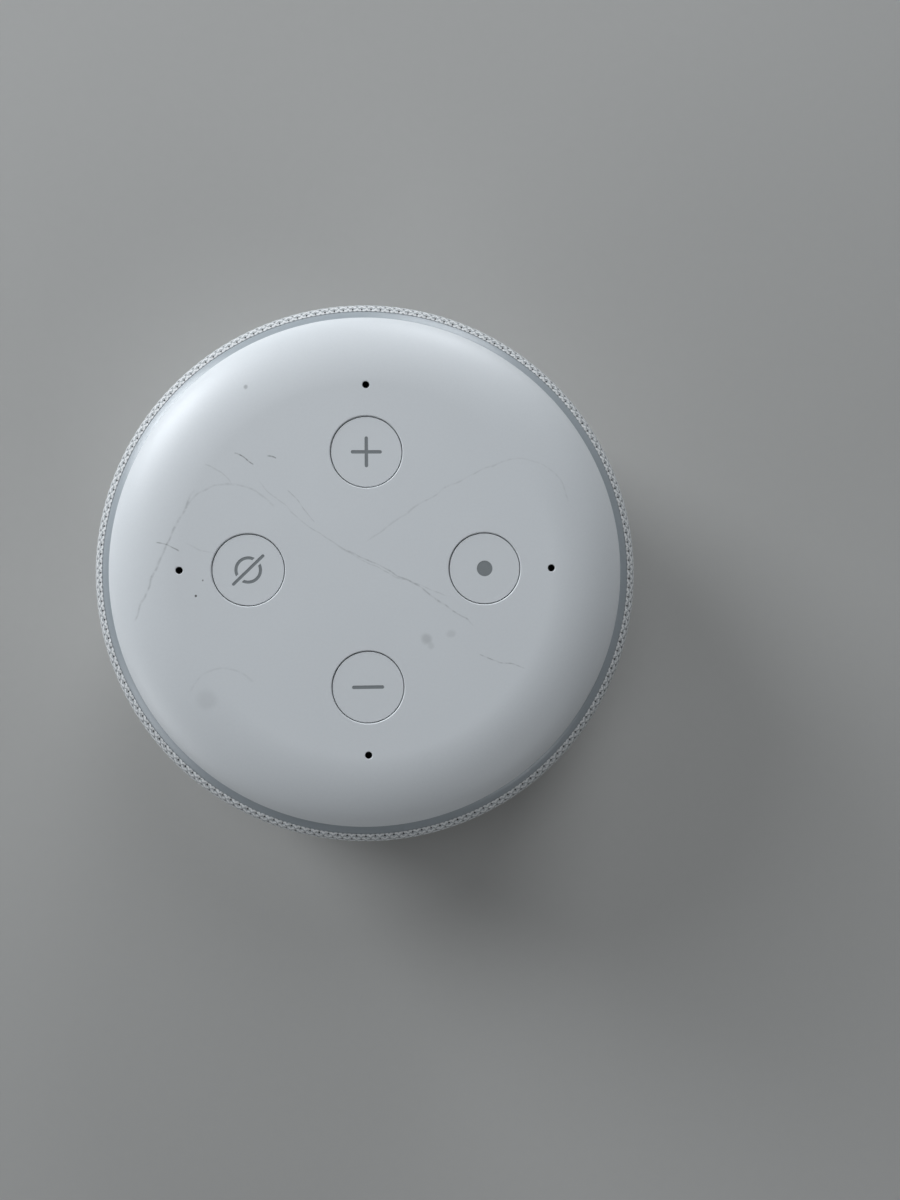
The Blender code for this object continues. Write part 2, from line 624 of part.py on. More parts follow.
def make_cover():
    """The top cover, with button holes and collars, microphone ports, screw bosses and hooks."""
    cover = turned("top_cover", cover_profile(), "white_shell", smooth=35)
    inlay = COVER_WALL / 2
    collars = bmesh.new()
    wells = bmesh.new()
    holes = bmesh.new()
    for _, azimuth in BUTTON_PLACES:
        at = polar(BUTTON_PITCH, azimuth)
        add_cylinder(collars, COLLAR_RADIUS, COVER_UNDER - COLLAR_DEPTH, COVER_UNDER + inlay, at)
        add_cylinder(wells, COLLAR_INSIDE, COVER_UNDER - COLLAR_DEPTH - THROUGH, COVER_UNDER, at)
        hole = (COVER_UNDER - THROUGH, COVER_TOP + THROUGH)
        add_cylinder(holes, BUTTON_RADIUS + CLEARANCE, *hole, at)
    bosses = bmesh.new()
    pilots = bmesh.new()
    for azimuth in QUARTERS:
        at = polar(MIC_PITCH, azimuth)
        low = COVER_UNDER - MIC_BOSS_DEPTH
        add_cylinder(bosses, MIC_BOSS_RADIUS, low, COVER_UNDER + inlay, at, SCREW_SIDES)
        add_cylinder(pilots, MIC_HOLE_RADIUS, low - THROUGH, COVER_TOP + THROUGH, at, SCREW_SIDES)
    boss_under = BOARD_TOP + CLEARANCE
    bite = boss_under + BOARD_SCREW_BITE + CLEARANCE
    for azimuth in CORNERS:
        at = polar(BOARD_SCREW_PITCH, azimuth)
        boss_top = COVER_UNDER + inlay / 2
        add_cylinder(bosses, BOARD_BOSS_RADIUS, boss_under, boss_top, at, SCREW_SIDES)
        pilot = (boss_under - THROUGH, bite)
        add_cylinder(pilots, BOARD_SCREW_RADIUS + CLEARANCE, *pilot, at, SCREW_SIDES)
    hooks = bmesh.new()
    inside = BOARD_RADIUS + CLEARANCE
    barb_top = LEDGE_UNDER - CLEARANCE
    for number in range(HOOK_COUNT):
        azimuth = 360 / HOOK_COUNT * (number + 0.5)
        side = (-HOOK_WIDTH / 2, HOOK_WIDTH / 2)
        height = (barb_top - HOOK_BARB, LIP_UNDER + COVER_WALL)
        add_box(hooks, (inside, inside + HOOK_WALL), side, height, azimuth)
    barbs = bmesh.new()
    for number in range(HOOK_COUNT):
        azimuth = 360 / HOOK_COUNT * (number + 0.5)
        side = (-HOOK_WIDTH / 2 + BARB_INSET, HOOK_WIDTH / 2 - BARB_INSET)
        reach = (inside + HOOK_WALL / 2, LEDGE_INSIDE + HOOK_BARB)
        height = (barb_top - HOOK_BARB + BARB_INSET / 2, barb_top)
        add_box(barbs, reach, side, height, azimuth)
    join(cover, "collar", collars)
    join(cover, "boss", bosses)
    join(cover, "hook", hooks)
    join(cover, "barb", barbs)
    cut(cover, "well", wells)
    cut(cover, "hole", holes)
    cut(cover, "pilot", pilots)


def make_light_ring():
    """The frosted ring that shows between the cover and the fabric."""
    section = [
        (RING_INSIDE, RING_UNDER),
        (RING_RADIUS, RING_UNDER),
        (RING_RADIUS, RING_TOP - RING_SLOPE),
        (COVER_RADIUS, RING_TOP - RING_SLOPE / 4),
        (RING_INSIDE, RING_TOP),
    ]
    turned("light_ring", section, "frosted_ring")


def make_buttons():
    """Four push buttons, each over a switch whose plunger it presses."""
    cap_height = COVER_TOP - BUTTON_SINK - FLANGE_UNDER
    cap = [
        (0.0, -STEM_LENGTH),
        (STEM_RADIUS, -STEM_LENGTH),
        (STEM_RADIUS, 0.0),
        (FLANGE_RADIUS, 0.0),
        (FLANGE_RADIUS, FLANGE_WALL),
        (BUTTON_RADIUS, FLANGE_WALL),
        (BUTTON_RADIUS, cap_height - BUTTON_EDGE),
        (BUTTON_RADIUS - BUTTON_EDGE, cap_height),
        (0.0, cap_height),
    ]
    plunger_length = PLUNGER_TOP - SWITCH_UNDER - PLUNGER_SEAT - BUTTON_TRAVEL - CLEARANCE
    plunger = [
        (0.0, -plunger_length),
        (PLUNGER_RADIUS, -plunger_length),
        (PLUNGER_RADIUS, -BUTTON_EDGE),
        (PLUNGER_RADIUS - BUTTON_EDGE, 0.0),
        (0.0, 0.0),
    ]
    half = SWITCH_SIDE / 2
    for name, azimuth in BUTTON_PLACES:
        at = polar(BUTTON_PITCH, azimuth)
        turned(f"{name}_button", cap, "white_shell", SMALL_SIDES, (at.x, at.y, FLANGE_UNDER))
        turned(f"{name}_plunger", plunger, "black_plastic", SCREW_SIDES, (at.x, at.y, PLUNGER_TOP))
        body = bmesh.new()
        x, y = (at.x - half, at.x + half), (at.y - half, at.y + half)
        add_box(body, x, y, (SWITCH_UNDER, SWITCH_TOP))
        switch = place(body, f"{name}_switch", "tinned_steel")
        well = bmesh.new()
        floor = SWITCH_UNDER + PLUNGER_SEAT
        top = SWITCH_TOP + THROUGH
        add_cylinder(well, PLUNGER_RADIUS + CLEARANCE, floor, top, at, SCREW_SIDES)
        cut(switch, "well", well)


def make_microphones():
    """Four microphones under the board, each with a rubber gasket up to its hole in the cover."""
    gasket_top = COVER_UNDER - MIC_BOSS_DEPTH - CLEARANCE
    gasket = washer(MIC_HOLE_RADIUS, MIC_GASKET_RADIUS, BOARD_TOP + CLEARANCE, gasket_top)
    width, length, height = MIC_SIZE
    top = BOARD_UNDER - CLEARANCE
    for number, azimuth in enumerate(QUARTERS, 1):
        at = polar(MIC_PITCH, azimuth)
        turned(f"mic_gasket_{number}", gasket, "black_rubber", SCREW_SIDES, (at.x, at.y, 0.0))
        body = bmesh.new()
        x = (at.x - width / 2, at.x + width / 2)
        y = (at.y - length / 2, at.y + length / 2)
        add_box(body, x, y, (top - height, top))
        place(body, f"microphone_{number}", "tinned_steel")


def make_board():
    """Main board, its ring of LEDs, shield, thermal pad, heat spreader and screws."""
    board = turned("main_board", washer(0.0, BOARD_RADIUS, BOARD_UNDER, BOARD_TOP), "board_green")
    disc = washer(0.0, SPREADER_RADIUS, SPREADER_UNDER, SPREADER_TOP)
    spreader = turned("heat_spreader", disc, "aluminium")
    holes = bmesh.new()
    standoffs = bmesh.new()
    for azimuth in CORNERS:
        at = polar(BOARD_SCREW_PITCH, azimuth)
        standoff = (SPREADER_UNDER + SPREADER_WALL / 2, BOARD_UNDER - CLEARANCE)
        add_cylinder(standoffs, STANDOFF_RADIUS, *standoff, at, SCREW_SIDES)
        hole = (SPREADER_UNDER - THROUGH, BOARD_TOP + THROUGH)
        add_cylinder(holes, BOARD_SCREW_RADIUS + CLEARANCE, *hole, at, SCREW_SIDES)
    for azimuth in QUARTERS:
        at = polar(MIC_PITCH, azimuth)
        port = (BOARD_UNDER - THROUGH, BOARD_TOP + THROUGH)
        add_cylinder(holes, MIC_PORT_RADIUS, *port, at, SCREW_SIDES)
    join(spreader, "standoff", standoffs)
    cut(board, "hole", holes)
    change(spreader, bpy.data.objects["main_board_hole_cutter"], "DIFFERENCE")
    passage = bmesh.new()
    room = WIRE_SPACING / 2 + WIRE_RADIUS + 2 * CLEARANCE
    rise = CUP_RADIUS - WIRE_GAP
    height = (SPREADER_UNDER - THROUGH, SPREADER_TOP + THROUGH)
    add_box(passage, (-room, room), (-rise - room, -rise + room), height)
    cut(spreader, "passage", passage)

    film_under = BOARD_TOP + CLEARANCE
    outside = BOARD_RADIUS - LED_INSET
    film = washer(outside - LED_BAND, outside, film_under, film_under + LED_FILM)
    leds = turned("led_ring", film, "ribbon_film")
    chips = bmesh.new()
    middle = outside - LED_BAND / 2
    for number in range(LED_COUNT):
        azimuth = 360 / LED_COUNT * number
        side = (-LED_SIDE / 2, LED_SIDE / 2)
        reach = (middle - LED_SIDE / 2, middle + LED_SIDE / 2)
        height = (film_under + LED_FILM / 2, film_under + LED_FILM + LED_HEIGHT)
        add_box(chips, reach, side, height, azimuth)
    join(leds, "chip", chips)

    x, y, height = SHIELD_SIZE
    can = bmesh.new()
    add_box(can, (-x / 2, x / 2), (-y / 2, y / 2), (SHIELD_UNDER, SHIELD_UNDER + height))
    shield = place(can, "shield_can", "tinned_steel")
    hollow = bmesh.new()
    x, y = x - 2 * SHIELD_WALL, y - 2 * SHIELD_WALL
    inside = (SHIELD_UNDER + SHIELD_WALL, SHIELD_UNDER + height + THROUGH)
    add_box(hollow, (-x / 2, x / 2), (-y / 2, y / 2), inside)
    cut(shield, "hollow", hollow)
    x, y, height = THERMAL_PAD_SIZE
    pad = bmesh.new()
    add_box(pad, (-x / 2, x / 2), (-y / 2, y / 2), (THERMAL_UNDER, THERMAL_UNDER + height))
    place(pad, "thermal_pad", "grey_rubber")

    head_under = SPREADER_UNDER - CLEARANCE
    shank = BOARD_TOP + CLEARANCE + BOARD_SCREW_BITE - CLEARANCE - head_under
    outline = screw_profile(BOARD_SCREW_RADIUS, shank, BOARD_SCREW_HEAD, BOARD_SCREW_HEAD_HEIGHT)
    first = turned("board_screw_1", outline, "tinned_steel", SCREW_SIDES)
    for number, azimuth in enumerate(CORNERS, 1):
        at = polar(BOARD_SCREW_PITCH, azimuth)
        screw = first if number == 1 else place_mesh(first.data, f"board_screw_{number}", None)
        screw.location = metres(at.x, at.y, head_under)


def jack(name, size, middle, bore, finish):
    """A socket on the small board: a block with a round collar that reaches into the panel."""
    width, depth, height = size
    back = JACK_FRONT - depth
    block = bmesh.new()
    x = (middle - width / 2, middle + width / 2)
    add_box(block, x, (back, JACK_FRONT), (JACK_UNDER, JACK_UNDER + height))
    made = place(block, name, finish)
    collar = bmesh.new()
    root = JACK_FRONT - JACK_COLLAR_ROOT
    add_bar(collar, bore + JACK_COLLAR_WALL, PANEL_Y - CLEARANCE, root, (middle, PORT_Z))
    join(made, "collar", collar)
    hole = bmesh.new()
    add_bar(hole, bore, PANEL_Y + THROUGH, back + JACK_BACK_WALL, (middle, PORT_Z))
    return cut(made, "bore", hole)


def make_ports():
    """Panel in the fabric's window, with the power and sound sockets on their small board."""
    back = PANEL_Y - PANEL_WALL
    plate = pill(PORT_LENGTH, PORT_HEIGHT, BODY_RADIUS + 2 * THROUGH, back, PORT_Z)
    bezel = place(plate, "port_bezel", "white_shell")
    surface = bmesh.new()
    height = (PORT_Z - PORT_HEIGHT, PORT_Z + PORT_HEIGHT)
    add_cylinder(surface, BODY_RADIUS - PANEL_SINK, *height, sides=2 * LARGE_SIDES)
    change(bezel, place(surface, "port_bezel_surface_cutter", None), "INTERSECT")
    rim = 2 * PORT_RIM
    recess = (PORT_LENGTH - rim, PORT_HEIGHT - rim, BODY_RADIUS + 3 * THROUGH, PANEL_Y, PORT_Z)
    cut(bezel, "recess", pill(*recess))
    places = ((-PORT_SPACING / 2, POWER_BORE_RADIUS), (PORT_SPACING / 2, AUDIO_BORE_RADIUS))
    holes = bmesh.new()
    for middle, bore in places:
        radius = bore + JACK_COLLAR_WALL + CLEARANCE
        add_bar(holes, radius, PANEL_Y + THROUGH, back - THROUGH, (middle, PORT_Z))
    cut(bezel, "hole", holes)

    jack("power_jack", POWER_JACK_SIZE, -PORT_SPACING / 2, POWER_BORE_RADIUS, "black_plastic")
    jack("audio_jack", AUDIO_JACK_SIZE, PORT_SPACING / 2, AUDIO_BORE_RADIUS, "black_plastic")
    pin_back = JACK_FRONT - POWER_JACK_SIZE[1] + JACK_BACK_WALL + CLEARANCE
    pin = bmesh.new()
    add_bar(pin, POWER_PIN_RADIUS, JACK_FRONT, pin_back, (-PORT_SPACING / 2, PORT_Z), SCREW_SIDES)
    place(pin, "power_jack_pin", "brass")

    rise = polar(FRAME_INSIDE - RIBBON_INSET, RIBBON_AZIMUTH)
    left = -PORT_SPACING / 2 - POWER_JACK_SIZE[0] / 2 - 1
    right = rise.x + RIBBON_WIDTH / 2
    back = JACK_FRONT - POWER_JACK_SIZE[1]
    board = bmesh.new()
    front = math.sqrt(FRAME_INSIDE**2 - right**2) - 3 * CLEARANCE
    add_box(board, (left, right), (back, front), (JACK_BOARD_UNDER, JACK_BOARD_TOP))
    place(board, "jack_board", "board_green")


def make_ribbon():
    """Flat cable from the small board up past the speaker to a socket under the main board."""
    rise = FRAME_INSIDE - RIBBON_INSET
    socket_length, socket_depth, socket_height = SOCKET_SIZE
    low = JACK_BOARD_TOP + CLEARANCE
    high = BOARD_UNDER - CLEARANCE - socket_height / 2
    bend = RIBBON_BEND
    middle = [(rise, low), (rise, high - bend)]
    middle += arc((rise - bend, high - bend), (bend, bend), 20, 90, 5)
    middle += [(rise - bend - RIBBON_TAIL, high)]
    half = RIBBON_WALL / 2
    line = [Vector((r, z)) for r, z in middle]
    sides = ([], [])
    for i, point in enumerate(line):
        along = (line[min(i + 1, len(line) - 1)] - line[max(i - 1, 0)]).normalized()
        across = Vector((along.y, -along.x)) * half
        sides[0].append(point + across)
        sides[1].append(point - across)
    outline = sides[0] + sides[1][::-1]
    turn = Matrix.Rotation(math.radians(RIBBON_AZIMUTH), 4, "Z")
    strip = bmesh.new()
    face = strip.faces.new([strip.verts.new(metres(p.x, -RIBBON_WIDTH / 2, p.y)) for p in outline])
    moved = bmesh.ops.extrude_face_region(strip, geom=[face])["geom"]
    verts = [v for v in moved if isinstance(v, bmesh.types.BMVert)]
    bmesh.ops.translate(strip, verts=verts, vec=metres(0.0, RIBBON_WIDTH, 0.0))
    bmesh.ops.transform(strip, matrix=turn, verts=strip.verts)
    place(strip, "ribbon_cable", "ribbon_film")

    end = rise - bend - RIBBON_TAIL - CLEARANCE
    across = (-socket_length / 2, socket_length / 2)
    top = BOARD_UNDER - CLEARANCE
    socket = bmesh.new()
    add_box(socket, (end - socket_depth, end), across, (top - socket_height, top), RIBBON_AZIMUTH)
    place(socket, "ribbon_socket", "black_plastic")


def make_enclosure():
    """Sealed box over the speaker: a baffle that carries the driver, and a cup that closes it."""
    hole = BASKET_RADIUS + CLEARANCE
    plate = washer(hole, CUP_RADIUS, BAFFLE_UNDER, BAFFLE_TOP)
    baffle = turned("speaker_baffle", plate, "grey_shell")
    ears = bmesh.new()
    legs = bmesh.new()
    holes = bmesh.new()
    leg_under = PLATE_TOP + BASE_BOSS_HEIGHT + CLEARANCE
    for azimuth in CORNERS:
        at = polar(POST_PITCH, azimuth)
        across = (-POST_RADIUS, POST_RADIUS)
        ear_height = (BAFFLE_UNDER + EAR_INSET, BAFFLE_TOP - EAR_INSET)
        add_box(ears, (CUP_RADIUS - EAR_ROOT, POST_PITCH), across, ear_height, azimuth)
        add_cylinder(legs, POST_RADIUS + EAR_INSET, leg_under, BAFFLE_TOP, at)
        hole_height = (leg_under - THROUGH, BAFFLE_TOP + THROUGH)
        add_cylinder(holes, BASE_SCREW_RADIUS + CLEARANCE, *hole_height, at, SCREW_SIDES)
    join(baffle, "ear", ears)
    join(baffle, "leg", legs)
    cut(baffle, "hole", holes)

    inner = CUP_RADIUS - CUP_WALL
    ceiling = CUP_TOP - CUP_WALL
    section = [
        (0.0, CUP_TOP),
        (CUP_RADIUS - CUP_WALL, CUP_TOP),
        (CUP_RADIUS, CUP_TOP - CUP_WALL),
        (CUP_RADIUS, CUP_UNDER),
        (inner, CUP_UNDER),
        (inner, ceiling),
        (0.0, ceiling),
    ]
    cup = turned("enclosure_cup", section, "grey_shell")
    passages = bmesh.new()
    for side in (-1, 1):
        at = (side * WIRE_SPACING / 2, -(CUP_RADIUS - WIRE_GAP))
        height = (ceiling - THROUGH, CUP_TOP + THROUGH)
        add_cylinder(passages, WIRE_RADIUS + CLEARANCE, *height, at, SCREW_SIDES)
    cut(cup, "passage", passages)
    gasket = washer(hole, DRIVER_RADIUS, GASKET_TOP - GASKET_WALL, GASKET_TOP)
    turned("speaker_gasket", gasket, "black_rubber", MIDDLE_SIDES)


def make_basket():
    """The driver's frame, a stepped cup with windows in its side."""
    step = DRIVER_FLANGE_TOP + (BASKET_DEPTH - BASKET_WALL) * BASKET_STEP
    inner = BASKET_RADIUS - BASKET_WALL
    neck = BASKET_NECK_RADIUS
    seat_inside = COIL_RADIUS + 2 * CLEARANCE
    section = [
        (inner, DRIVER_FRONT),
        (DRIVER_RADIUS, DRIVER_FRONT),
        (DRIVER_RADIUS, DRIVER_FLANGE_TOP),
        (BASKET_RADIUS, DRIVER_FLANGE_TOP),
        (BASKET_RADIUS, step),
        (neck, step + BASKET_WALL),
        (neck, BASKET_TOP),
        (seat_inside, BASKET_TOP),
        (seat_inside, BASKET_TOP - BASKET_WALL),
        (neck - BASKET_WALL, BASKET_TOP - BASKET_WALL),
        (neck - BASKET_WALL, step),
        (inner, step - BASKET_WALL),
    ]
    basket = turned("speaker_basket", section, "tinned_steel", MIDDLE_SIDES)
    windows = bmesh.new()
    for number in range(WINDOW_COUNT):
        azimuth = 360 / WINDOW_COUNT * (number + 0.5)
        across = (-WINDOW_WIDTH / 2, WINDOW_WIDTH / 2)
        height = (DRIVER_FLANGE_TOP + 2 * CLEARANCE, step - BASKET_WALL - CLEARANCE)
        reach = (inner - 0.8 * THROUGH, BASKET_RADIUS + THROUGH)
        add_box(windows, reach, across, height, azimuth)
    cut(basket, "window", windows)


def make_suspension():
    """The rubber surround and the cloth spider that hold the cone."""
    landing = DRIVER_FRONT - CLEARANCE
    under = landing - ROLL_WALL
    roll_outside = BASKET_RADIUS - BASKET_WALL
    middle = roll_outside - ROLL_RADIUS
    level = (landing + under) / 2
    outer, inner = ROLL_RADIUS + ROLL_WALL / 2, ROLL_RADIUS - ROLL_WALL / 2
    section = [(roll_outside + LANDING_WIDTH, under), (roll_outside + LANDING_WIDTH, landing)]
    section += [(roll_outside - ROLL_WALL / 2, landing)]
    section += arc((middle, level), (inner, inner), -10, -170, 4)
    section += arc((middle, level), (outer, outer), -175, -20, 5)
    turned("speaker_surround", section, "black_rubber", MIDDLE_SIDES)

    inside = COIL_RADIUS + CLEARANCE
    outside = BASKET_NECK_RADIUS - BASKET_WALL - CLEARANCE
    top = BASKET_TOP - BASKET_WALL - CLEARANCE
    level = top - SPIDER_WALL - SPIDER_WAVE
    steps = 4 * SPIDER_WAVES
    upper = []
    lower = []
    for i in range(steps + 1):
        r = inside + (outside - inside) * i / steps
        z = level + SPIDER_WAVE * math.sin(2 * math.pi * i * SPIDER_WAVES / steps)
        upper.append((r, z + SPIDER_WALL / 2))
        lower.append((r, z - SPIDER_WALL / 2))
    turned("speaker_spider", lower + upper[::-1], "spider_cloth", MIDDLE_SIDES)


def make_cone():
    """Cone, dust cap and voice coil, which move together along Z."""
    landing = DRIVER_FRONT - CLEARANCE
    edge_z = landing - ROLL_WALL / 2
    edge = BASKET_RADIUS - BASKET_WALL - 2 * ROLL_RADIUS - ROLL_WALL / 2 - CLEARANCE
    neck = COIL_RADIUS + CLEARANCE
    neck_z = edge_z + CONE_DEPTH
    middle, middle_z = (edge + neck) / 2, (edge_z + neck_z) / 2 + CONE_BULGE
    section = [
        (edge, edge_z - CONE_WALL / 2),
        (edge, edge_z + CONE_WALL / 2),
        (middle, middle_z + CONE_WALL / 2),
        (neck, neck_z + CONE_WALL / 2),
        (neck, neck_z - CONE_WALL / 2),
        (middle, middle_z - CONE_WALL / 2),
    ]
    turned("speaker_cone", section, "paper_cone", MIDDLE_SIDES)
    coil_low = neck_z - CONE_WALL / 2
    coil_high = YOKE_UNDER - CONE_TRAVEL - 2 * CLEARANCE
    coil = washer(COIL_INSIDE, COIL_RADIUS, coil_low, coil_high)
    turned("voice_coil", coil, "copper", SMALL_SIDES)
    base = coil_low - CLEARANCE
    wide = COIL_RADIUS
    outer = arc((0.0, base), (wide, -DUST_CAP_HEIGHT), 0, 90, 3)
    inner = arc((0.0, base), (wide - CONE_WALL, CONE_WALL - DUST_CAP_HEIGHT), 90, 0, 3)
    outer[-1] = (0.0, outer[-1][1])
    inner[0] = (0.0, inner[0][1])
    turned("dust_cap", outer + inner, "paper_cone", SMALL_SIDES)


def make_motor():
    """Top plate, magnet and yoke, with the gap that the coil moves in."""
    gap = COIL_RADIUS + CLEARANCE
    top_plate = washer(gap, MAGNET_RADIUS - 1, TOP_PLATE_UNDER, TOP_PLATE_TOP)
    turned("top_plate", top_plate, "tinned_steel", MIDDLE_SIDES)
    bore = COIL_RADIUS + MAGNET_BORE_GAP
    magnet = washer(bore, MAGNET_RADIUS, TOP_PLATE_TOP + CLEARANCE, YOKE_UNDER - CLEARANCE)
    turned("magnet", magnet, "ferrite", MIDDLE_SIDES)
    yoke = [
        (0.0, TOP_PLATE_UNDER),
        (POLE_RADIUS, TOP_PLATE_UNDER),
        (POLE_RADIUS, YOKE_UNDER),
        (MAGNET_RADIUS - 1, YOKE_UNDER),
        (MAGNET_RADIUS - 1, YOKE_TOP),
        (0.0, YOKE_TOP),
    ]
    turned("yoke", yoke, "tinned_steel", MIDDLE_SIDES)


def make_wires():
    """The speaker's two leads, from the basket up through the cup to the board."""
    rise = CUP_RADIUS - WIRE_GAP
    start = BASKET_RADIUS + WIRE_RADIUS + CLEARANCE
    low = BAFFLE_TOP + WIRE_RADIUS + 2 * CLEARANCE
    high = BOARD_UNDER - CLEARANCE
    for side, name in ((-1, "red"), (1, "black")):
        x = side * WIRE_SPACING / 2
        route = [
            Vector((x, -start, low)),
            Vector((x, -(start + 0.6 * (rise - start)), low + 0.4)),
            Vector((x, -rise, low + 3.0)),
            Vector((x, -rise, (low + high) / 2)),
            Vector((x, -rise, high)),
        ]
        tube(f"speaker_wire_{name}", smooth_line(route), WIRE_RADIUS, f"{name}_wire")


for old in list(bpy.data.objects):
    bpy.data.objects.remove(old, do_unlink=True)
ASSEMBLY = bpy.data.objects.new("smart_speaker", None)
bpy.context.scene.collection.objects.link(ASSEMBLY)
make_base()
make_wall()
make_cover()
make_light_ring()
make_buttons()
make_microphones()
make_board()
make_ports()
make_ribbon()
make_enclosure()
make_basket()
make_suspension()
make_cone()
make_motor()
make_wires()
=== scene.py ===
"""Looks of a puck-shaped smart speaker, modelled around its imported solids.

Sizes are in millimetres and meshes in metres. The speaker stands on the floor at the origin, +Z is up
and +Y points to the back, where the sockets are.
"""

import json
import logging
import math
from contextlib import contextmanager
from dataclasses import dataclass
from enum import Enum
from typing import Any, Callable, Iterator, Sequence

import bmesh
import bpy
import numpy as np
from mathutils import Matrix, Vector


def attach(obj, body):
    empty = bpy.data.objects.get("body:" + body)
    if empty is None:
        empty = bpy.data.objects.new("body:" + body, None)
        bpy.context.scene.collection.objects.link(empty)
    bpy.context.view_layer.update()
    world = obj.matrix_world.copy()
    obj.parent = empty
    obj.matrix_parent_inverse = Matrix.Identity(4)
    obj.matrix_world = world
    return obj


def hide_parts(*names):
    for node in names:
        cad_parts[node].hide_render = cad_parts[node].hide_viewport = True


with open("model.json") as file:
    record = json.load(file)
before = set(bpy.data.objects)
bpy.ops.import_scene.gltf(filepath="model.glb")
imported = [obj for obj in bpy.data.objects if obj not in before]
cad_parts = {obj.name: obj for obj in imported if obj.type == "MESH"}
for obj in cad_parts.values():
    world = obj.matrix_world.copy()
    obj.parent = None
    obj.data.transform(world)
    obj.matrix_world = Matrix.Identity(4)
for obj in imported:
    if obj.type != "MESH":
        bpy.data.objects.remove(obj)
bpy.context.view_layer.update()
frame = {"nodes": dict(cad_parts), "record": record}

MM = 0.001
MERGE = 1e-7
QUARTERS = (0.0, 90.0, 180.0, 270.0)
CORNERS = (45.0, 135.0, 225.0, 315.0)
TOOL_REACH = 1.0  # how far a cutting tool stands out of what it cuts
LEVEL = 0.9999  # least upward part of the normal of a face that counts as level
SLACK = 0.01  # how far a point may lie off the line that it is picked by
RIM_SLACK = 0.02  # the same round a rim, whose sides are flat
SPECKLE = 1.6  # size of the colour's speckle, in grains
HANDLING = 0.4  # size of the patches where hands change the gloss, in colour patches
MARK_GREY = "#4A4A48"  # what a rub mark greys the shell towards
ROOM_LIGHT = "#F3F1EE"
SMOOTH = "SMOOTHSTEP"

NOISE = "ShaderNodeTexNoise"
MATH = "ShaderNodeMath"
VECTOR = "ShaderNodeVectorMath"
RANGE = "ShaderNodeMapRange"
MIX = "ShaderNodeMix"
BUMP = "ShaderNodeBump"

Point = tuple[float, float]
Outline = list[Point]
Socket = bpy.types.NodeSocket
Piece = bpy.types.Object
Edge = bmesh.types.BMEdge
Face = bmesh.types.BMFace
Tree = bpy.types.NodeTree
log = logging.getLogger("speaker")


# ---------------------------------------------------------------- modelling by hand


class Joining(Enum):
    """How a tool changes a piece."""

    CUT = "DIFFERENCE"
    WELD = "UNION"
    KEEP_COMMON = "INTERSECT"


class Picking(Enum):
    """What is picked in edit mode."""

    FACES = "FACE"
    EDGES = "EDGE"


def clear_selection() -> None:
    """Leave nothing selected, so that an operator acts on new work only."""
    bpy.ops.object.select_all(action="DESELECT")


def hold(piece: Piece) -> Piece:
    """Select one piece alone and make it active.

    Args:
        piece: The piece to work on.

    Returns:
        The same piece.
    """
    clear_selection()
    piece.select_set(True)
    bpy.context.view_layer.objects.active = piece
    return piece


@contextmanager
def editing(piece: Piece) -> Iterator[Piece]:
    """Work on a piece in edit mode, with all of it selected at the start.

    Args:
        piece: The piece to work on.

    Yields:
        The piece, in edit mode.
    """
    hold(piece)
    bpy.ops.object.mode_set(mode="EDIT")
    bpy.ops.mesh.select_mode(type="VERT")
    bpy.ops.mesh.select_all(action="SELECT")
    yield piece
    bpy.ops.object.mode_set(mode="OBJECT")


def pick(piece: Piece, what: Picking, wanted: Callable[[Any], bool]) -> int:
    """Select faces or edges by their place or normal, in edit mode.

    Args:
        piece: The piece in edit mode.
        what: Faces or edges.
        wanted: Says whether one face or edge is picked.

    Returns:
        How many are picked.
    """
    bpy.ops.mesh.select_mode(type=what.value)
    bpy.ops.mesh.select_all(action="DESELECT")
    mesh = bmesh.from_edit_mesh(piece.data)
    found = [part for part in (mesh.faces if what is Picking.FACES else mesh.edges) if wanted(part)]
    for part in found:
        part.select_set(True)
    bmesh.update_edit_mesh(piece.data)
    return len(found)


def named(name: str) -> Piece:
    """Name the new active object and its mesh.

    Args:
        name: The name for both.

    Returns:
        The object.
    """
    piece = bpy.context.active_object
    piece.name = name
    piece.data.name = name
    return piece


def settle(piece: Piece) -> Piece:
    """Put a piece's place, turn and scale into its mesh.

    Args:
        piece: The piece to settle.

    Returns:
        The same piece.
    """
    hold(piece)
    bpy.ops.object.transform_apply(location=True, rotation=True, scale=True)
    return piece


def block(name: str, low: Sequence[float], high: Sequence[float], turn: float = 0.0) -> Piece:
    """A box between two corners in millimetres, then turned about the Z axis.

    Args:
        name: The piece's name.
        low: Lowest corner.
        high: Highest corner.
        turn: Degrees about Z, after the box is placed.

    Returns:
        The box, with its place in its mesh.
    """
    clear_selection()
    centre = [(a + b) / 2 * MM for a, b in zip(low, high)]
    bpy.ops.mesh.primitive_cube_add(size=1.0, location=centre)
    box = named(name)
    box.scale = [(b - a) * MM for a, b in zip(low, high)]
    settle(box)
    box.rotation_euler.z = math.radians(turn)
    return settle(box)


def rod(
    name: str, radius: float, low: float, high: float, at: Point = (0.0, 0.0), sides: int = 48
) -> Piece:
    """An upright cylinder.

    Args:
        name: The piece's name.
        radius: Radius in millimetres.
        low: Height of its lower end.
        high: Height of its upper end.
        at: Where its axis stands.
        sides: How many flat sides it has.

    Returns:
        The cylinder, with its place in its mesh.
    """
    clear_selection()
    place = (at[0] * MM, at[1] * MM, (low + high) / 2 * MM)
    depth = (high - low) * MM
    bpy.ops.mesh.primitive_cylinder_add(vertices=sides, radius=radius * MM, depth=depth, location=place)
    return settle(named(name))


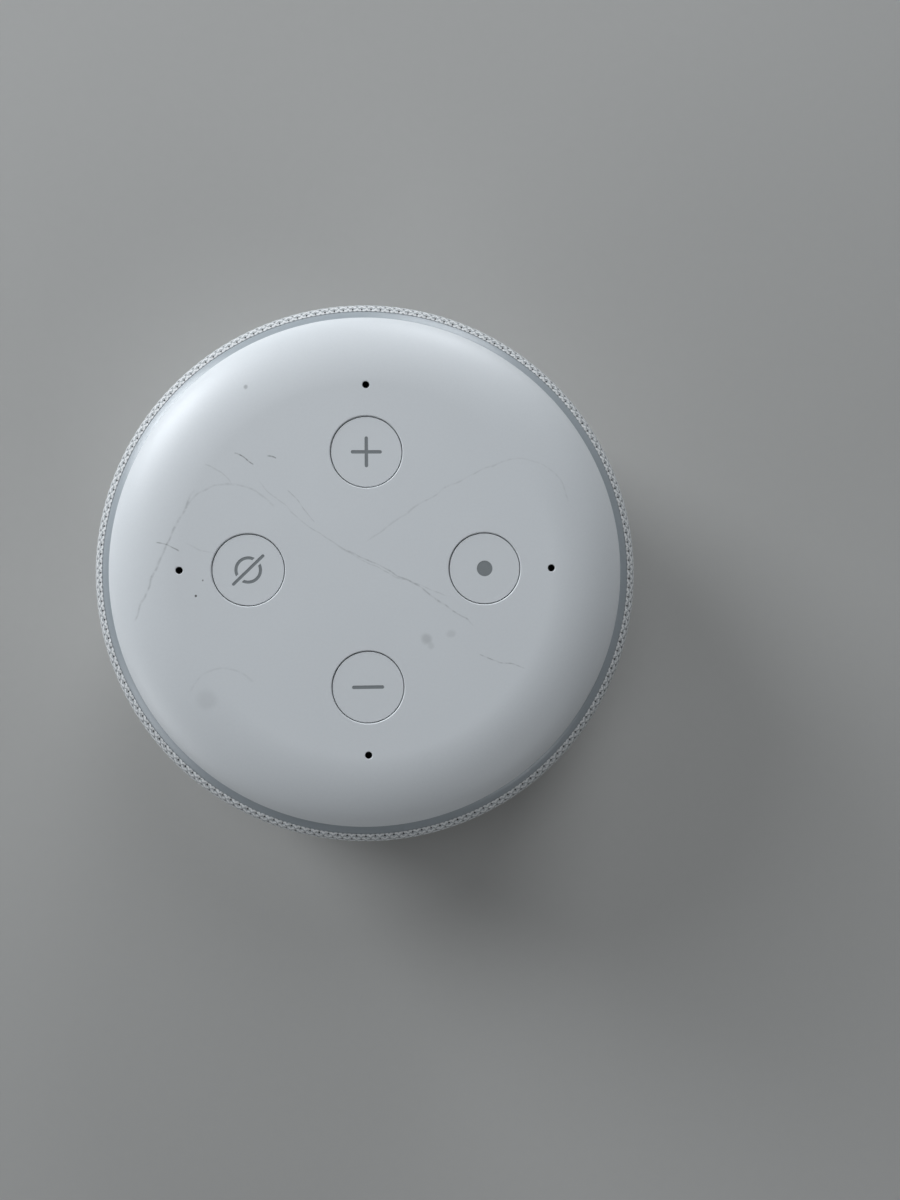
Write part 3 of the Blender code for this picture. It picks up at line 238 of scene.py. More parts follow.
def drawn(name: str, outline: Outline) -> Piece:
    """Draw a closed outline with one vertex, extruded from point to point.

    Args:
        name: The piece's name.
        outline: (radius, height) points in millimetres.

    Returns:
        The outline, as edges in the XZ plane.
    """
    clear_selection()
    start = outline[0]
    bpy.ops.mesh.primitive_plane_add(size=MM, location=(start[0] * MM, 0.0, start[1] * MM))
    piece = settle(named(name))
    with editing(piece):
        bpy.ops.mesh.merge(type="CENTER")
        for last, point in zip(outline, outline[1:] + outline[:1]):
            move = ((point[0] - last[0]) * MM, 0.0, (point[1] - last[1]) * MM)
            bpy.ops.mesh.extrude_region_move(TRANSFORM_OT_translate={"value": move})
        bpy.ops.mesh.select_all(action="SELECT")
        bpy.ops.mesh.remove_doubles(threshold=MERGE)
    return piece


def closed_up(piece: Piece) -> Piece:
    """Merge the seam and the poles of a turned piece, and face it outwards.

    Args:
        piece: The turned piece.

    Returns:
        The same piece.
    """
    with editing(piece):
        bpy.ops.mesh.remove_doubles(threshold=MERGE)
        bpy.ops.mesh.normals_make_consistent(inside=False)
    return piece


def turned(name: str, outline: Outline, steps: int) -> Piece:
    """Spin a closed outline a full turn about Z.

    Args:
        name: The piece's name.
        outline: (radius, height) points in millimetres.
        steps: How many steps the full turn takes.

    Returns:
        The closed solid, with its faces outwards.
    """
    piece = drawn(name, outline)
    with editing(piece):
        bpy.ops.mesh.spin(steps=steps, angle=math.tau, center=(0.0, 0.0, 0.0), axis=(0.0, 0.0, 1.0))
    return closed_up(piece)


def screwed(name: str, outline: Outline, steps: int) -> Piece:
    """Turn a closed outline about Z with a modifier, which is quicker than a spin of many steps.

    Args:
        name: The piece's name.
        outline: (radius, height) points in millimetres.
        steps: How many steps the full turn takes.

    Returns:
        The closed solid, with its faces outwards.
    """
    piece = drawn(name, outline)
    modifier = piece.modifiers.new("turn", "SCREW")
    modifier.steps = modifier.render_steps = steps
    modifier.use_merge_vertices = True
    modifier.merge_threshold = MERGE
    bpy.ops.object.modifier_apply(modifier=modifier.name)
    return closed_up(piece)


def shaped(piece: Piece, tool: Piece, how: Joining) -> Piece:
    """Change a piece with a tool, which is used up.

    Args:
        piece: The piece to change.
        tool: A closed solid.
        how: Cut it out, weld it on or keep what is in both.

    Returns:
        The changed piece.
    """
    hold(piece)
    modifier = piece.modifiers.new("tool", "BOOLEAN")
    modifier.operation = how.value
    modifier.solver = "EXACT"
    modifier.material_mode = "TRANSFER"
    modifier.object = tool
    bpy.ops.object.modifier_apply(modifier=modifier.name)
    bpy.data.objects.remove(tool, do_unlink=True)
    return piece


def together(name: str, tools: Sequence[Piece]) -> Piece:
    """Join tools that don't overlap into one, so that they cut in one go.

    Args:
        name: The joined tool's name.
        tools: The separate tools.

    Returns:
        One object with all of their meshes.
    """
    clear_selection()
    for tool in tools:
        tool.select_set(True)
    bpy.context.view_layer.objects.active = tools[0]
    bpy.ops.object.join()
    return named(name)


def copied(piece: Piece, name: str, shift: Vector) -> Piece:
    """Copy a piece with its own mesh and move the copy's points.

    Args:
        piece: The piece to copy.
        name: The copy's name.
        shift: Move in metres.

    Returns:
        The copy.
    """
    hold(piece)
    bpy.ops.object.duplicate(linked=False)
    twin = named(name)
    with editing(twin):
        bpy.ops.transform.translate(value=shift)
    return twin


def rounded_edges(
    piece: Piece, width: float, wanted: Callable[[Edge], bool], segments: int = 3
) -> None:
    """Bevel the edges that are wanted.

    Args:
        piece: The piece to bevel.
        width: Bevel width in millimetres.
        wanted: Says whether one edge is bevelled.
        segments: How many faces make the round.
    """
    with editing(piece):
        if pick(piece, Picking.EDGES, wanted):
            bpy.ops.mesh.bevel(offset=width * MM, segments=segments, affect="EDGES", clamp_overlap=True)


def lies_along(edge: Edge, axis: int) -> bool:
    """Whether an edge runs along one axis: X (0), Y (1) or Z (2)."""
    first, last = edge.verts
    return abs((first.co - last.co).normalized()[axis]) > 0.9


def smoothed(piece: Piece, angle: float = 35.0) -> Piece:
    """Shade a piece smooth but for its hard edges, and let large flat faces keep their own normal.

    Args:
        piece: The piece to shade.
        angle: Edges sharper than this stay hard, in degrees.

    Returns:
        The same piece.
    """
    hold(piece)
    bpy.ops.object.shade_smooth_by_angle(angle=math.radians(angle))
    modifier = piece.modifiers.new("weighted", "WEIGHTED_NORMAL")
    modifier.keep_sharp = True
    bpy.ops.object.modifier_apply(modifier=modifier.name)
    return piece


def lies_along_back(piece: Piece, x: float, z: float) -> Piece:
    """Turn a piece's +Z to +Y and move it to a place on the back.

    Args:
        piece: A piece that stands on the Z axis.
        x: Place across, in millimetres.
        z: Height, in millimetres.

    Returns:
        The same piece.
    """
    piece.rotation_euler.x = -math.pi / 2
    piece.location = (x * MM, 0.0, z * MM)
    return settle(piece)


def polar(pitch: float, azimuth: float) -> Point:
    """The point at that distance from the axis, azimuth in degrees from +X."""
    return pitch * math.cos(math.radians(azimuth)), pitch * math.sin(math.radians(azimuth))


def swept(centre: Point, radii: Point, start: float, end: float, steps: int) -> Outline:
    """Points on part of an ellipse.

    Args:
        centre: Its middle, as (radius, height).
        radii: Half-widths along radius and height.
        start: First angle in degrees.
        end: Last angle in degrees.
        steps: How many spans the arc has.

    Returns:
        The points, both ends included.
    """
    angles = np.radians(np.linspace(start, end, steps + 1))
    across = centre[0] + radii[0] * np.cos(angles)
    up = centre[1] + radii[1] * np.sin(angles)
    return list(zip(across.tolist(), up.tolist()))


def even(outline: Outline, spacing: float) -> Outline:
    """Space points evenly along a line.

    Args:
        outline: The line's points in millimetres.
        spacing: Wanted distance between points.

    Returns:
        The new points, with both ends kept.
    """
    line = np.array(outline)
    along = np.concatenate([[0.0], np.cumsum(np.linalg.norm(np.diff(line, axis=0), axis=1))])
    count = round(along[-1] / spacing) + 1
    places = np.linspace(0.0, along[-1], count)
    across = np.interp(places, along, line[:, 0])
    up = np.interp(places, along, line[:, 1])
    return list(zip(across.tolist(), up.tolist()))


# ---------------------------------------------------------------- finishes


def linear(colour: str) -> tuple[float, float, float, float]:
    """Turn an sRGB hex colour into linear light with full alpha.

    Args:
        colour: Six hex digits after a hash.

    Returns:
        Red, green, blue and alpha.
    """
    parts = [int(colour[i : i + 2], 16) / 255 for i in (1, 3, 5)]
    light = [c / 12.92 if c <= 0.04045 else ((c + 0.055) / 1.055) ** 2.4 for c in parts]
    return light[0], light[1], light[2], 1.0


def add(tree: Tree, kind: str, inputs: dict[Any, Any] | None = None, **settings: Any) -> bpy.types.Node:
    """Add one node, set its properties, and set or link its inputs.

    Args:
        tree: The tree it goes in.
        kind: The node's type name.
        inputs: Input name or number to a value or to another node's output.
        **settings: The node's own properties.

    Returns:
        The new node.
    """
    node = tree.nodes.new(kind)
    for name, value in settings.items():
        setattr(node, name, value)
    for key, value in (inputs or {}).items():
        if isinstance(value, Socket):
            tree.links.new(value, node.inputs[key])
        else:
            node.inputs[key].default_value = value
    return node


@dataclass(frozen=True)
class Finish:
    """One real surface finish, with the shader settings that are the same all over it."""

    name: str
    colour: str
    roughness: float = 0.5
    metallic: float = 0.0
    ior: float = 1.5
    grain: float = 0.4  # size of the surface's grain in millimetres
    relief: float = 0.004  # how deep the grain is in millimetres
    mottle: float = 0.04  # share by which the colour varies
    gloss_spread: float = 0.05  # how far the roughness varies
    patch: float = 12.0  # size of the patches in which it varies, in millimetres

    def made(self) -> bpy.types.Material:
        """Return the material, building it the first time."""
        found = bpy.data.materials.get(self.name)
        return found if found else self.build()

    def build(self) -> bpy.types.Material:
        """Build the node tree.

        Returns:
            The new material.
        """
        material = bpy.data.materials.new(self.name)
        material.use_nodes = True
        tree = material.node_tree
        shader = tree.nodes["Principled BSDF"]
        shader.inputs["Base Color"].default_value = linear(self.colour)
        shader.inputs["Metallic"].default_value = self.metallic
        shader.inputs["IOR"].default_value = self.ior
        place = add(tree, "ShaderNodeTexCoord").outputs["Object"]
        colour = self.coloured(tree, place)
        tree.links.new(colour, shader.inputs["Base Color"])
        tree.links.new(self.roughened(tree, place), shader.inputs["Roughness"])
        tree.links.new(self.relieved(tree, place), shader.inputs["Normal"])
        self.set_constants(shader)
        material.diffuse_color = linear(self.colour)
        return material

    def set_constants(self, shader: bpy.types.Node) -> None:
        """Set the shader values that only some finishes have."""

    def coloured(self, tree: Tree, place: Socket) -> Socket:
        """The base colour, a little uneven in broad soft patches.

        Args:
            tree: The material's tree.
            place: Object coordinates.

        Returns:
            The colour.
        """
        patches = add(tree, NOISE, {"Vector": place, "Scale": 1 / (self.patch * MM), "Detail": 3.0})
        speckle = add(tree, NOISE, {"Vector": place, "Scale": 1 / (self.grain * SPECKLE * MM), "Detail": 2.0})
        both = add(tree, MATH, {0: patches.outputs["Fac"], 1: speckle.outputs["Fac"]}).outputs[0]
        span = {"From Min": 0.5, "From Max": 1.5, "To Min": 1 - self.mottle, "To Max": 1 + self.mottle / 3}
        shade = add(tree, RANGE, {"Value": both, **span})
        tone = add(tree, VECTOR, {0: linear(self.colour)[:3]}, operation="SCALE")
        tree.links.new(shade.outputs["Result"], tone.inputs["Scale"])
        return tone.outputs["Vector"]

    def roughened(self, tree: Tree, place: Socket) -> Socket:
        """The roughness, varied by handling.

        Args:
            tree: The material's tree.
            place: Object coordinates.

        Returns:
            The roughness.
        """
        scale = 1 / (self.patch * HANDLING * MM)
        patches = add(tree, NOISE, {"Vector": place, "Scale": scale, "Detail": 2.0})
        low, high = self.roughness - self.gloss_spread, self.roughness + self.gloss_spread
        spread = add(tree, RANGE, {"Value": patches.outputs["Fac"], "To Min": low, "To Max": high})
        return spread.outputs["Result"]

    def relieved(self, tree: Tree, place: Socket) -> Socket:
        """The normal with the surface's own fine grain.

        Args:
            tree: The material's tree.
            place: Object coordinates.

        Returns:
            The normal.
        """
        grain = add(tree, NOISE, {"Vector": place, "Scale": 1 / (self.grain * MM), "Detail": 2.0})
        height = grain.outputs["Fac"]
        bump = add(tree, BUMP, {"Height": height, "Distance": self.relief * MM, "Strength": 1.0})
        return bump.outputs["Normal"]


def wandering(tree: Tree, place: Socket, scale: float, reach: float) -> Socket:
    """Shift the place where a pattern is read by soft noise, so that its lines aren't ruled.

    Args:
        tree: The material's tree.
        place: The place without the shift.
        scale: Scale of the noise.
        reach: How far it can shift the place, from one side to the other.

    Returns:
        The shifted place.
    """
    noise = add(tree, NOISE, {"Vector": place, "Scale": scale, "Detail": 1.0}).outputs["Color"]
    centred = add(tree, VECTOR, {0: noise, 1: (-0.5, -0.5, -0.5)}, operation="ADD")
    shift = {0: centred.outputs["Vector"], 1: (reach, reach, 0.0), 2: place}
    return add(tree, VECTOR, shift, operation="MULTIPLY_ADD").outputs["Vector"]


@dataclass(frozen=True)
class Scratch:
    """A faint rub mark on the cover, an arc through three places in millimetres."""

    start: Point
    middle: Point
    end: Point
    width: float
    strength: float
    fade: float = 0.3  # share of its half-length over which an end fades

    def circle(self) -> tuple[Vector, float, Vector, float]:
        """Find the arc's circle.

        Returns:
            Its centre, its radius, the direction of its middle, and the cosine of its half-angle.
        """
        a, b, c = Vector(self.start), Vector(self.middle), Vector(self.end)
        turn = 2 * (a.x * (b.y - c.y) + b.x * (c.y - a.y) + c.x * (a.y - b.y))
        far = [point.length_squared for point in (a, b, c)]
        x = (far[0] * (b.y - c.y) + far[1] * (c.y - a.y) + far[2] * (a.y - b.y)) / turn
        y = (far[0] * (c.x - b.x) + far[1] * (a.x - c.x) + far[2] * (b.x - a.x)) / turn
        centre = Vector((x, y))
        middle = (b - centre).normalized()
        spread = min((a - centre).normalized().dot(middle), (c - centre).normalized().dot(middle))
        return centre, (a - centre).length, middle, spread


@dataclass(frozen=True)
class Smudge:
    """A small mark on the cover: its place, radius and strength."""

    at: Point
    radius: float
    strength: float
    core: float = 0.3  # share of the radius that is full strength


@dataclass(frozen=True)
class WornShell(Finish):
    """A moulded shell with the rub marks of a few years' use on its top."""

    scratches: tuple[Scratch, ...] = ()
    smudges: tuple[Smudge, ...] = ()

    def marked(self, tree: Tree, place: Socket) -> Socket:
        """Add up the scratches and smudges.

        Args:
            tree: The material's tree.
            place: Object coordinates.

        Returns:
            0 where the top is clean and up to 1 where it is marked.
        """
        flat = add(tree, VECTOR, {0: place, 1: (1 / MM, 1 / MM, 0.0)}, operation="MULTIPLY").outputs["Vector"]
        drift = wandering(tree, flat, 0.25, 1.2)
        broken = add(tree, NOISE, {"Vector": flat, "Scale": 0.9, "Detail": 2.0})
        span = {"From Min": 0.38, "From Max": 0.62, "To Min": 0.25, "To Max": 1.0}
        gaps = add(tree, RANGE, {"Value": broken.outputs["Fac"], **span})
        total: Socket | None = None
        for scratch in self.scratches:
            centre, radius, middle, spread = scratch.circle()
            centred = {0: drift, 1: (centre.x, centre.y, 0.0)}
            away = add(tree, VECTOR, centred, operation="SUBTRACT").outputs["Vector"]
            reach = add(tree, VECTOR, {0: away}, operation="LENGTH").outputs["Value"]
            off = add(tree, MATH, {0: reach, 1: radius}, operation="SUBTRACT").outputs[0]
            side = add(tree, MATH, {0: off}, operation="ABSOLUTE").outputs[0]
            span = {"From Min": scratch.width, "From Max": 0.0, "To Min": 0.0, "To Max": scratch.strength}
            line = add(tree, RANGE, {"Value": side, **span}, interpolation_type=SMOOTH).outputs["Result"]
            facing = add(tree, VECTOR, {0: away}, operation="NORMALIZE").outputs["Vector"]
            along = {0: facing, 1: (middle.x, middle.y, 0.0)}
            turn = add(tree, VECTOR, along, operation="DOT_PRODUCT").outputs["Value"]
            span = {"From Min": spread, "From Max": spread + (1 - spread) * scratch.fade}
            ends = add(tree, RANGE, {"Value": turn, **span}, interpolation_type=SMOOTH).outputs["Result"]
            mark = add(tree, MATH, {0: line, 1: ends}, operation="MULTIPLY").outputs[0]
            total = mark if total is None else add(tree, MATH, {0: total, 1: mark}).outputs[0]
        total = add(tree, MATH, {0: total, 1: gaps.outputs["Result"]}, operation="MULTIPLY").outputs[0]
        for smudge in self.smudges:
            gap = add(tree, VECTOR, {0: drift, 1: (*smudge.at, 0.0)}, operation="DISTANCE").outputs["Value"]
            inner = smudge.radius * smudge.core
            span = {"From Min": smudge.radius, "From Max": inner, "To Max": smudge.strength}
            mark = add(tree, RANGE, {"Value": gap, **span}, interpolation_type=SMOOTH).outputs["Result"]
            total = add(tree, MATH, {0: total, 1: mark}).outputs[0]
        return total

    def coloured(self, tree: Tree, place: Socket) -> Socket:
        """The shell's colour, greyed where it is marked.

        Args:
            tree: The material's tree.
            place: Object coordinates.

        Returns:
            The colour.
        """
        clean = super().coloured(tree, place)
        marks = self.marked(tree, place)
        worn = add(tree, MIX, {"Factor": marks, "A": clean, "B": linear(MARK_GREY)}, data_type="RGBA")
        return worn.outputs["Result"]


@dataclass(frozen=True)
class Diffuser(Finish):
    """Translucent plastic that scatters the lamps behind it."""

    depth: float = 1.2  # how far light spreads inside, in millimetres
    scatter: float = 0.15  # share of the light that spreads

    def set_constants(self, shader: bpy.types.Node) -> None:
        """Let light spread a little inside the plastic."""
        shader.inputs["Subsurface Weight"].default_value = self.scatter
        shader.inputs["Subsurface Radius"].default_value = (1.0, 1.0, 1.0)
        shader.inputs["Subsurface Scale"].default_value = self.depth * MM


@dataclass(frozen=True)
class Knit(Finish):
    """Tight warp knit of light yarn, with painted shade between its yarns and in its open stitches. The
    piece's UV map counts stitches.
    """

    # painted shade: the colour of the open stitches stands in for the shade inside them
    hole: str = "#2A2B2C"
    # painted shade: the colour of the gaps between yarns stands in for the shade there
    gap: str = "#B9BDBF"
    fuzz: float = 0.5  # share of a yarn's height that its fibres add
    wander: float = 0.16  # how far the knit strays, in stitches

    def set_constants(self, shader: bpy.types.Node) -> None:
        """Give the yarn the soft edge light of its fibres."""
        shader.inputs["Sheen Weight"].default_value = 0.25
        shader.inputs["Sheen Roughness"].default_value = 0.5

    def stitches(self, tree: Tree) -> tuple[Socket, Socket]:
        """Draw the stitch pattern: rows of V-shaped legs, with an open stitch at every second one.

        Args:
            tree: The material's tree.

        Returns:
            How far a place is raised on a yarn, from 0 to 1, and how much of it is an open stitch.
        """
        uv = add(tree, "ShaderNodeUVMap", uv_map="stitches").outputs["UV"]
        place = wandering(tree, uv, 1.7, self.wander)
        parts = add(tree, "ShaderNodeSeparateXYZ", {"Vector": place})
        across, down = parts.outputs["X"], parts.outputs["Y"]
        waves = []
        for axis in (across, down):
            turn = add(tree, MATH, {0: axis, 1: math.tau}, operation="MULTIPLY").outputs[0]
            waves.append(add(tree, MATH, {0: turn}, operation="COSINE").outputs[0])
        both = add(tree, MATH, {0: waves[0], 1: waves[1]}, operation="MULTIPLY").outputs[0]
        span = {"From Min": 0.6, "From Max": 0.94}
        holes = add(tree, RANGE, {"Value": both, **span}, interpolation_type=SMOOTH)
        leg = add(tree, MATH, {0: across, 1: 0.25}, operation="PINGPONG").outputs[0]
        slope = add(tree, MATH, {0: leg, 1: down}).outputs[0]
        phase = add(tree, MATH, {0: slope, 1: 2 * math.tau}, operation="MULTIPLY").outputs[0]
        crest = add(tree, MATH, {0: phase}, operation="COSINE").outputs[0]
        span = {"From Min": -0.95, "From Max": 0.35}
        yarn = add(tree, RANGE, {"Value": crest, **span}, interpolation_type=SMOOTH)
        return yarn.outputs["Result"], holes.outputs["Result"]

    def coloured(self, tree: Tree, place: Socket) -> Socket:
        """Light yarn with painted shade in the gaps between yarns and in the open stitches, and a slight
        heather.

        Args:
            tree: The material's tree.
            place: Object coordinates.

        Returns:
            The colour.
        """
        thread = super().coloured(tree, place)
        yarn, holes = self.stitches(tree)
        # mix in painted shade between the yarns, then painted shade in the open stitches
        gaps = add(tree, MIX, {"Factor": yarn, "A": linear(self.gap), "B": thread}, data_type="RGBA")
        cloth = {"Factor": holes, "A": gaps.outputs["Result"], "B": linear(self.hole)}
        knit_with_painted_shade = add(tree, MIX, cloth, data_type="RGBA")
        return knit_with_painted_shade.outputs["Result"]

    def relieved(self, tree: Tree, place: Socket) -> Socket:
        """Raised yarns with fine fibres on them.

        Args:
            tree: The material's tree.
            place: Object coordinates.

        Returns:
            The normal.
        """
        yarn, holes = self.stitches(tree)
        fibres = add(tree, NOISE, {"Vector": place, "Scale": 1 / (self.grain * MM), "Detail": 2.0})
        fluff = add(tree, MATH, {0: fibres.outputs["Fac"], 1: self.fuzz}, operation="MULTIPLY").outputs[0]
        raised = add(tree, MATH, {0: yarn, 1: fluff}).outputs[0]
        height = add(tree, MATH, {0: raised, 1: holes}, operation="SUBTRACT").outputs[0]
        bump = add(tree, BUMP, {"Height": height, "Distance": self.relief * MM, "Strength": 1.0})
        return bump.outputs["Normal"]


# White ABS from a spark-eroded mould: even, fine-grained matte with a soft broad highlight
COVER_SHELL = WornShell(
    "white_abs_worn",
    "#E3E6E8",
    roughness=0.42,
    grain=0.28,
    relief=0.0035,
    mottle=0.03,
    patch=16.0,
    scratches=(
        Scratch((-19.2, 16.3), (-3.6, 3.2), (7.6, -2.4), width=0.18, strength=0.2),
        Scratch((-3.6, 3.2), (7.6, -2.4), (19.0, -10.3), width=0.22, strength=0.34),
        Scratch((19.4, -14.8), (23.5, -16.4), (27.7, -17.6), width=0.18, strength=0.4),
        Scratch((-16.0, 10.9), (-24.0, 15.1), (-31.8, 10.2), width=0.3, strength=0.16),
        Scratch((-31.8, 10.2), (-35.3, 2.7), (-40.8, -9.2), width=0.34, strength=0.26),
        Scratch((-0.5, 4.4), (11.0, 12.5), (23.3, 18.6), width=0.26, strength=0.16),
        Scratch((23.3, 18.6), (30.5, 18.9), (35.8, 11.4), width=0.24, strength=0.11),
        Scratch((-36.6, 4.9), (-34.4, 4.2), (-32.5, 3.3), width=0.18, strength=0.55),
        Scratch((-31.5, 4.6), (-28.6, 3.4), (-26.0, 2.6), width=0.2, strength=0.14),
        Scratch((-22.9, 20.3), (-21.2, 19.4), (-19.5, 18.3), width=0.17, strength=1.1),
        Scratch((-17.0, 19.8), (-16.4, 19.6), (-15.7, 19.2), width=0.16, strength=1.0),
        Scratch((-14.0, 14.0), (-11.4, 11.2), (-9.0, 8.4), width=0.16, strength=0.26),
        Scratch((-27.6, 18.3), (-25.4, 17.2), (-23.4, 15.0), width=0.2, strength=0.16),
        Scratch((-31.0, -22.0), (-26.0, -17.0), (-19.5, -20.0), width=0.3, strength=0.1),
    ),
    smudges=(
        Smudge((-29.8, -4.3), 0.26, 1.4),
        Smudge((-28.4, -1.6), 0.2, 0.8),
        Smudge((-21.2, 32.1), 0.55, 0.4),
        Smudge((10.2, -12.4), 1.3, 0.22),
        Smudge((11.0, -13.6), 0.8, 0.12),
        Smudge((14.6, -11.3), 1.0, 0.12),
        Smudge((-28.0, -22.4), 2.4, 0.09),
    ),
)
# The same ABS on pieces that are handled less
CLEAN_SHELL = Finish("white_abs", "#E3E6E8", roughness=0.42, grain=0.28, relief=0.0035, mottle=0.02)
# Grey pad-printed ink: flat, slightly duller than the plastic
KEY_INK = Finish("pad_print_ink", "#8A8F91", roughness=0.6, grain=0.15, relief=0.002, mottle=0.1, patch=0.8)
# Smoke-tinted polycarbonate diffuser: smooth, milky and cool grey while it is unlit
RING_DIFFUSER = Diffuser(
    "frosted_polycarbonate", "#A8AFB4", roughness=0.32, ior=1.58, relief=0.001, mottle=0.05
)
# Polyester warp knit: chalky, with painted shade between its yarns and in its open stitches
SLEEVE_KNIT = Knit(
    "polyester_knit", "#F1F2F2", roughness=0.85, grain=0.25, relief=0.09, mottle=0.1, patch=5.0
)
# Silicone rubber: dull, dust-catching grey
PAD_RUBBER = Finish("silicone_rubber", "#7D8082", roughness=0.8, ior=1.41, grain=0.5, relief=0.01, mottle=0.1)

SLOT_FINISHES: dict[str, Finish] = {
    "white_shell": CLEAN_SHELL,
    "frosted_ring": RING_DIFFUSER,
    "pale_fabric": SLEEVE_KNIT,
    "grey_rubber": PAD_RUBBER,
    # Glass-filled ABS: dark, with the faint flow marks of its filler
    "grey_shell": Finish("filled_abs", "#4A4C4E", roughness=0.6, grain=0.35, relief=0.006, mottle=0.12),
    # Moulded nylon of sockets and plungers: near black, satin
    "black_plastic": Finish("black_nylon", "#1B1B1C", roughness=0.45, grain=0.3, relief=0.003, mottle=0.15),
    # Solder mask over glass laminate: glossy green that shows the weave beneath
    "board_green": Finish(
        "solder_mask", "#1D5B3C", roughness=0.3, grain=0.6, relief=0.004, mottle=0.2, patch=4.0
    ),
    # Tin plate: soft grey metal with fine rolling marks
    "tinned_steel": Finish("tin_plate", "#C4C5C6", roughness=0.32, metallic=1.0, grain=0.2, relief=0.002),
    # Die-cast aluminium: slightly grainy light metal
    "aluminium": Finish("cast_aluminium", "#BEC0C2", roughness=0.45, metallic=1.0, grain=0.5, relief=0.008),
    # Nickel-free brass contact: warm and bright
    "brass": Finish("contact_brass", "#C9A65B", roughness=0.28, metallic=1.0, grain=0.2, relief=0.001),
    # Enamelled copper winding: warm metal with fine turns
    "copper": Finish("enamelled_copper", "#B5683F", roughness=0.35, metallic=1.0, grain=0.15, relief=0.01),
    # Sintered ferrite: dull dark grey ceramic
    "ferrite": Finish(
        "sintered_ferrite", "#3B3B3D", roughness=0.6, grain=0.4, relief=0.01, mottle=0.2, patch=3.0
    ),
    # Pressed paper pulp: black and fibrous
    "paper_cone": Finish(
        "paper_pulp", "#29292A", roughness=0.85, grain=0.5, relief=0.03, mottle=0.25, patch=2.0
    ),
    # Butyl rubber: black with a weak sheen
    "black_rubber": Finish("butyl_rubber", "#161616", roughness=0.6, grain=0.4, relief=0.004, mottle=0.1),
    # Resin-stiffened cotton: ochre open weave
    "spider_cloth": Finish(
        "stiffened_cotton", "#B48B4C", roughness=0.9, grain=0.4, relief=0.05, mottle=0.3, patch=1.0
    ),
    # PVC insulation, one red lead and one black
    "red_wire": Finish("red_pvc", "#A02222", roughness=0.4, grain=0.4, relief=0.002),
    "black_wire": Finish("black_pvc", "#1A1A1A", roughness=0.4, grain=0.4, relief=0.002),
    # Polyester film over tinned tracks: pale and glossy
    "ribbon_film": Finish(
        "polyester_film", "#D5D6D8", roughness=0.3, grain=0.8, relief=0.003, mottle=0.15, patch=1.0
    ),
}


def hand_over(
    piece: Piece, body: str, nodes: Sequence[str], finish: Finish | None = None
) -> Piece:
    """Give a finished piece its material and its place in the frame.

    Args:
        piece: The finished piece.
        body: The CAD body that it moves with.
        nodes: The CAD nodes that it stands for.
        finish: Its finish, unless its materials are set already.

    Returns:
        The same piece.
    """
    if finish:
        piece.data.materials.clear()
        piece.data.materials.append(finish.made())
    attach(piece, body)
    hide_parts(*nodes)
    return piece


# ---------------------------------------------------------------- the speaker


